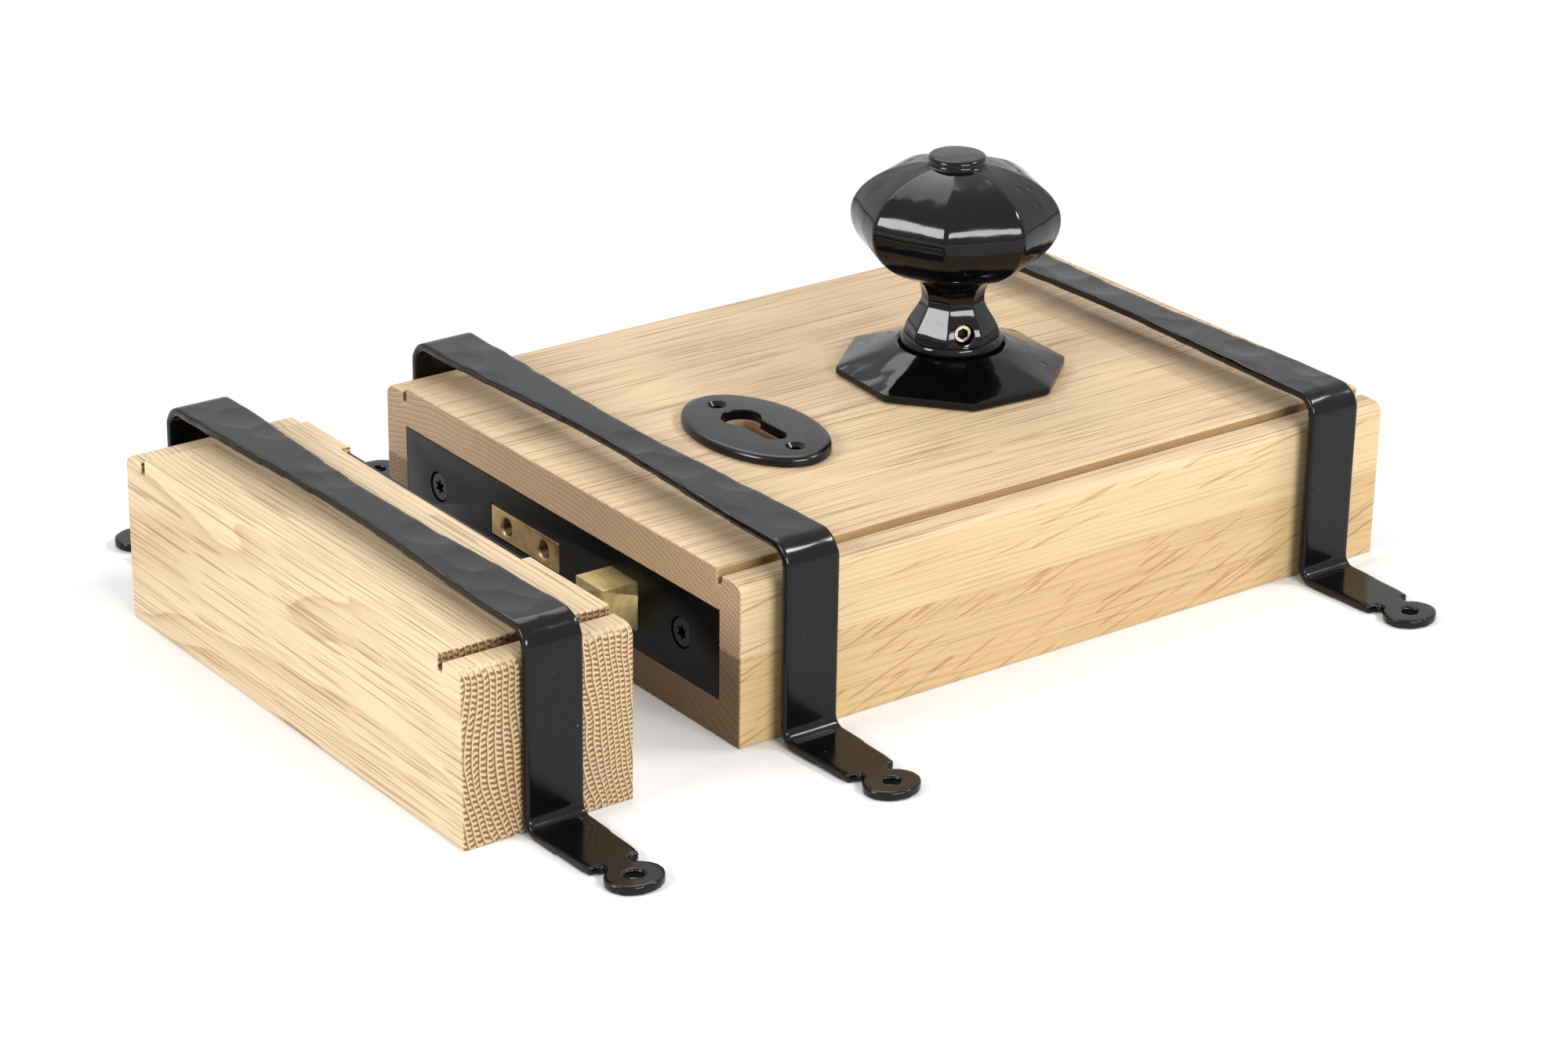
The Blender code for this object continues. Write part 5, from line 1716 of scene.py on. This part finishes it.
@dataclass(frozen=True)
class Forend:
    """Forend plate, with the two bolts that show in it.

    The countersinks' steps are (radius, height over the plate's face) in millimetres.
    """

    edge: float = 0.3 * MM
    fit: float = 0.3 * MM
    sink: tuple[Point, ...] = ((2.1, -6.0), (2.1, -3.1), (4.5, -1.0), (4.5, 1.0))
    bolt_edge: float = 0.35 * MM
    latch_edge: float = 0.3 * MM
    thread: float = 2.6 * MM
    thread_rise: float = 0.28 * MM
    thread_pitch: float = 0.7 * MM
    thread_depth: float = 6.0 * MM
    thread_offset: float = 7.8 * MM
    mouth: float = 0.45 * MM
    mouth_flare: float = 0.5 * MM

    def build(self) -> None:
        """Make the plate and the bolts."""
        plate_box = Box("forend_plate")
        low, high = plate_box.low, plate_box.high
        cutters = []
        for bolt in map(Box, ("latch_bolt", "dead_bolt")):
            cutters.append(Shapes.block((low.x - PAST, bolt.low.y - self.fit, bolt.low.z - self.fit),
                                        (high.x + PAST, bolt.high.y + self.fit, bolt.high.z + self.fit)))
        sink = [(radius * MM, height * MM) for radius, height in self.sink]
        for screw in map(Box, ("forend_screw_1", "forend_screw_2")):
            cutters.append(Shapes.turned(sink, 48, self.outward(low.x, screw.middle.y, screw.middle.z)))
        plate = Shapes.piece("forend_face", Shapes.block(low, high, self.edge, 2))
        Shapes.cut(plate, cutters)
        dress(plate, Finishes.PLATE_BLACK, Body.LOCK, "forend_plate")
        self.latch()
        self.dead_bolt()

    @staticmethod
    def outward(x: float, y: float, z: float) -> Matrix:
        """Matrix that turns +Z to look out of the forend at a place."""
        return Matrix.Translation((x, y, z)) @ Matrix.Rotation(-QUARTER, 4, "Y")

    def latch(self) -> None:
        """Latch bolt with a rounded nose and a bevelled underside, after the CAD's own shape."""
        bm = Shapes.copied(bpy.data.objects["latch_bolt"])
        bmesh.ops.dissolve_limit(bm, angle_limit=math.radians(1.0), verts=bm.verts, edges=bm.edges)
        edges = [edge for edge in bm.edges if len(edge.link_faces) == 2
                 and edge.calc_face_angle(0.0) > math.radians(40.0)]
        bmesh.ops.bevel(bm, geom=edges, offset=self.latch_edge, segments=2, profile=0.5, affect="EDGES")
        dress(Shapes.piece("latch_head", bm), Finishes.LATCH_BRASS, Body.LATCH, "latch_bolt")

    def dead_bolt(self) -> None:
        """Dead bolt with two threaded holes in its end."""
        box = Box("dead_bolt")
        wide, depth = self.thread + self.mouth_flare, self.mouth
        drill = [(wide, 1.0 * MM), (wide, 0.0), (self.thread, -depth)]
        while depth < self.thread_depth:
            drill += [(self.thread - self.thread_rise, -depth - 0.5 * self.thread_pitch),
                      (self.thread, -depth - self.thread_pitch)]
            depth += self.thread_pitch
        bolt = Shapes.piece("dead_bolt_head", Shapes.block(box.low, box.high, self.bolt_edge))
        Shapes.cut(bolt, [Shapes.turned(drill, 40, self.outward(box.low.x, y, box.middle.z))
                          for y in (box.low.y + self.thread_offset, box.high.y - self.thread_offset)])
        dress(bolt, Finishes.BOLT_BRASS, Body.DEAD_BOLT, "dead_bolt")
        skin = (self.bolt_edge, self.edge, self.edge)
        # Painted shade: the faces inside the threaded holes get a near-black finish.
        accent(bolt, Finishes.THREAD_SHADE, lambda face: box.holds(face.center, skin))


class LatchSpring:
    """Coil spring between the latch and its guide, copied as the CAD has it."""

    NODE = "latch_spring"

    def build(self) -> None:
        """Copy the CAD coil in its place, give it steel and hide the CAD node."""
        coil = Shapes.piece("latch_coil", Shapes.copied(bpy.data.objects[self.NODE]))
        coil.data.materials.append(Finishes.STEEL.material())
        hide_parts(self.NODE)
        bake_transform(coil)
        LOG.info("%s: %d polygons", coil.name, len(coil.data.polygons))


class Works:
    """Inner pieces that stay as the CAD has them, with their metal."""

    BRASS = ("lever_1", "lever_2")

    def build(self, nodes: dict) -> None:
        """Give every carried-over CAD node its finish.

        Args:
            nodes: CAD nodes of the frame, by name.
        """
        for name in nodes:
            piece = bpy.data.objects[name]
            if piece.hide_render:
                continue
            finish = Finishes.BOLT_BRASS if name in self.BRASS else Finishes.STEEL
            for slot in piece.material_slots:
                slot.link = "OBJECT"
                slot.material = finish.material()
            if not piece.material_slots:
                piece.data.materials.append(finish.material())
            LOG.info("%s: CAD mesh, %s", name, finish.name)


@dataclass(frozen=True)
class Panel:
    """One soft light panel."""

    name: str
    place: tuple[float, float, float]
    size: Point
    power: float
    aim: tuple[float, float, float] = (-0.04, 0.0, 0.04)

    def build(self) -> None:
        """Hang the panel and aim it."""
        data = bpy.data.lights.new(self.name, "AREA")
        data.shape = "RECTANGLE"
        data.size, data.size_y = self.size
        data.energy = self.power
        lamp = Shapes.link(self.name, data)
        lamp.location = self.place
        lamp.rotation_euler = (Vector(self.aim) - Vector(self.place)).to_track_quat("-Z", "Y").to_euler()


@dataclass(frozen=True)
class Studio:
    """White table, white surroundings, soft light and the photograph's viewpoint."""

    panels: tuple[Panel, ...] = (
        Panel("panel_top", (0.2, 0.95, 1.40), (1.3, 0.9), 11.0),
        Panel("panel_left", (-1.5, 0.10, 0.78), (0.55, 0.60), 24.5),
        Panel("panel_front", (-0.12, -1.6, 0.82), (0.90, 0.42), 28.0),
        Panel("panel_right", (0.9, -0.65, 1.2), (0.42, 0.20), 11.0),
    )
    ambient: float = 0.37
    table_tone: Colour = (0.74, 0.735, 0.73)
    table_size: float = 8.0
    table_drop: float = 0.2 * MM
    table_glow: float = 0.01
    table_fade: Point = (0.6, 2.2)
    eye: tuple[float, float, float] = (-0.6761, -0.8590, 0.4767)
    azimuth: float = math.radians(-36.744)
    elevation: float = math.radians(23.454)
    roll: float = math.radians(0.886)
    focal_px: float = 5231.623
    image_px: float = 2000.0
    far_clip: float = 60.0

    def build(self) -> None:
        """Set up light, table, background and camera."""
        for panel in self.panels:
            panel.build()
        self.surroundings()
        self.table()
        self.camera()
        bpy.context.scene.view_settings.view_transform = "Standard"

    def surroundings(self) -> None:
        """White to the eye and in reflections, softer as a source of light."""
        world = bpy.data.worlds.new("white_room")
        bpy.context.scene.world = world
        world.use_nodes = True
        graph = Graph(world.node_tree)
        back = world.node_tree.nodes["Background"]
        path = graph.wires("ShaderNodeLightPath")
        seen = path["Is Camera Ray"] | path["Is Glossy Ray"] | path["Is Transmission Ray"]
        graph.feed(back.inputs["Color"], WHITE)
        graph.feed(back.inputs["Strength"], seen.step(0.0, 1.0, self.ambient, 1.0))

    def table(self) -> None:
        """White table that keeps the shadow near the lock and fades to white far from it."""
        bm = bmesh.new()
        bmesh.ops.create_grid(bm, x_segments=1, y_segments=1, size=self.table_size)
        bmesh.ops.translate(bm, verts=bm.verts, vec=(0.0, 0.0, -self.table_drop))
        floor = Shapes.piece("table", bm)
        material = bpy.data.materials.new("table_white")
        material.use_nodes = True
        graph = Graph(material.node_tree)
        reach = graph.length(graph.wire("ShaderNodeTexCoord", out="Object"))
        seen = graph.wire("ShaderNodeLightPath", out="Is Camera Ray")
        glow = reach.step(*self.table_fade) * seen + self.table_glow
        for key, value in {"Base Color": self.table_tone, "Roughness": 0.8, "Specular IOR Level": 0.0,
                           "Emission Color": WHITE, "Emission Strength": glow}.items():
            graph.feed(material.node_tree.nodes["Principled BSDF"].inputs[key], value)
        floor.data.materials.append(material)

    def camera(self) -> None:
        """Camera of the photograph."""
        data = bpy.data.cameras.new("view")
        data.sensor_width = 36.0
        data.lens = self.focal_px * data.sensor_width / self.image_px
        data.clip_end = self.far_clip
        camera = Shapes.link("view", data)
        flat = math.cos(self.elevation)
        back = Vector((math.sin(self.azimuth) * flat, -math.cos(self.azimuth) * flat,
                       math.sin(self.elevation)))
        camera.location = self.eye
        camera.rotation_mode = "QUATERNION"
        camera.rotation_quaternion = ((-back).to_track_quat("-Z", "Y")
                                      @ Quaternion((0.0, 0.0, 1.0), self.roll))
        bpy.context.scene.camera = camera


def main() -> None:
    """Dress the whole lock."""
    logging.basicConfig(level=logging.INFO, format="%(name)s: %(message)s")
    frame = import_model()
    for assembly in (
            OakCase(), OakKeep(),
            ForgedStrap("lock_strap_front", Body.LOCK, 1.7), ForgedStrap("lock_strap_rear", Body.LOCK, 5.3),
            ForgedStrap("keep_strap", Body.KEEP, 9.1),
            KnobSet(), KeyholePlate(), Forend(),
            ScrewSet("forend_screws", ("forend_screw_1", "forend_screw_2"), Body.LOCK, -1.0),
            ScrewSet("strike_screws", ("strike_screw_1", "strike_screw_2"), Body.KEEP, 1.0),
            LatchSpring()):
        assembly.build()
    Works().build(frame["nodes"])
    Studio().build()


if __name__ == "__main__":
    main()
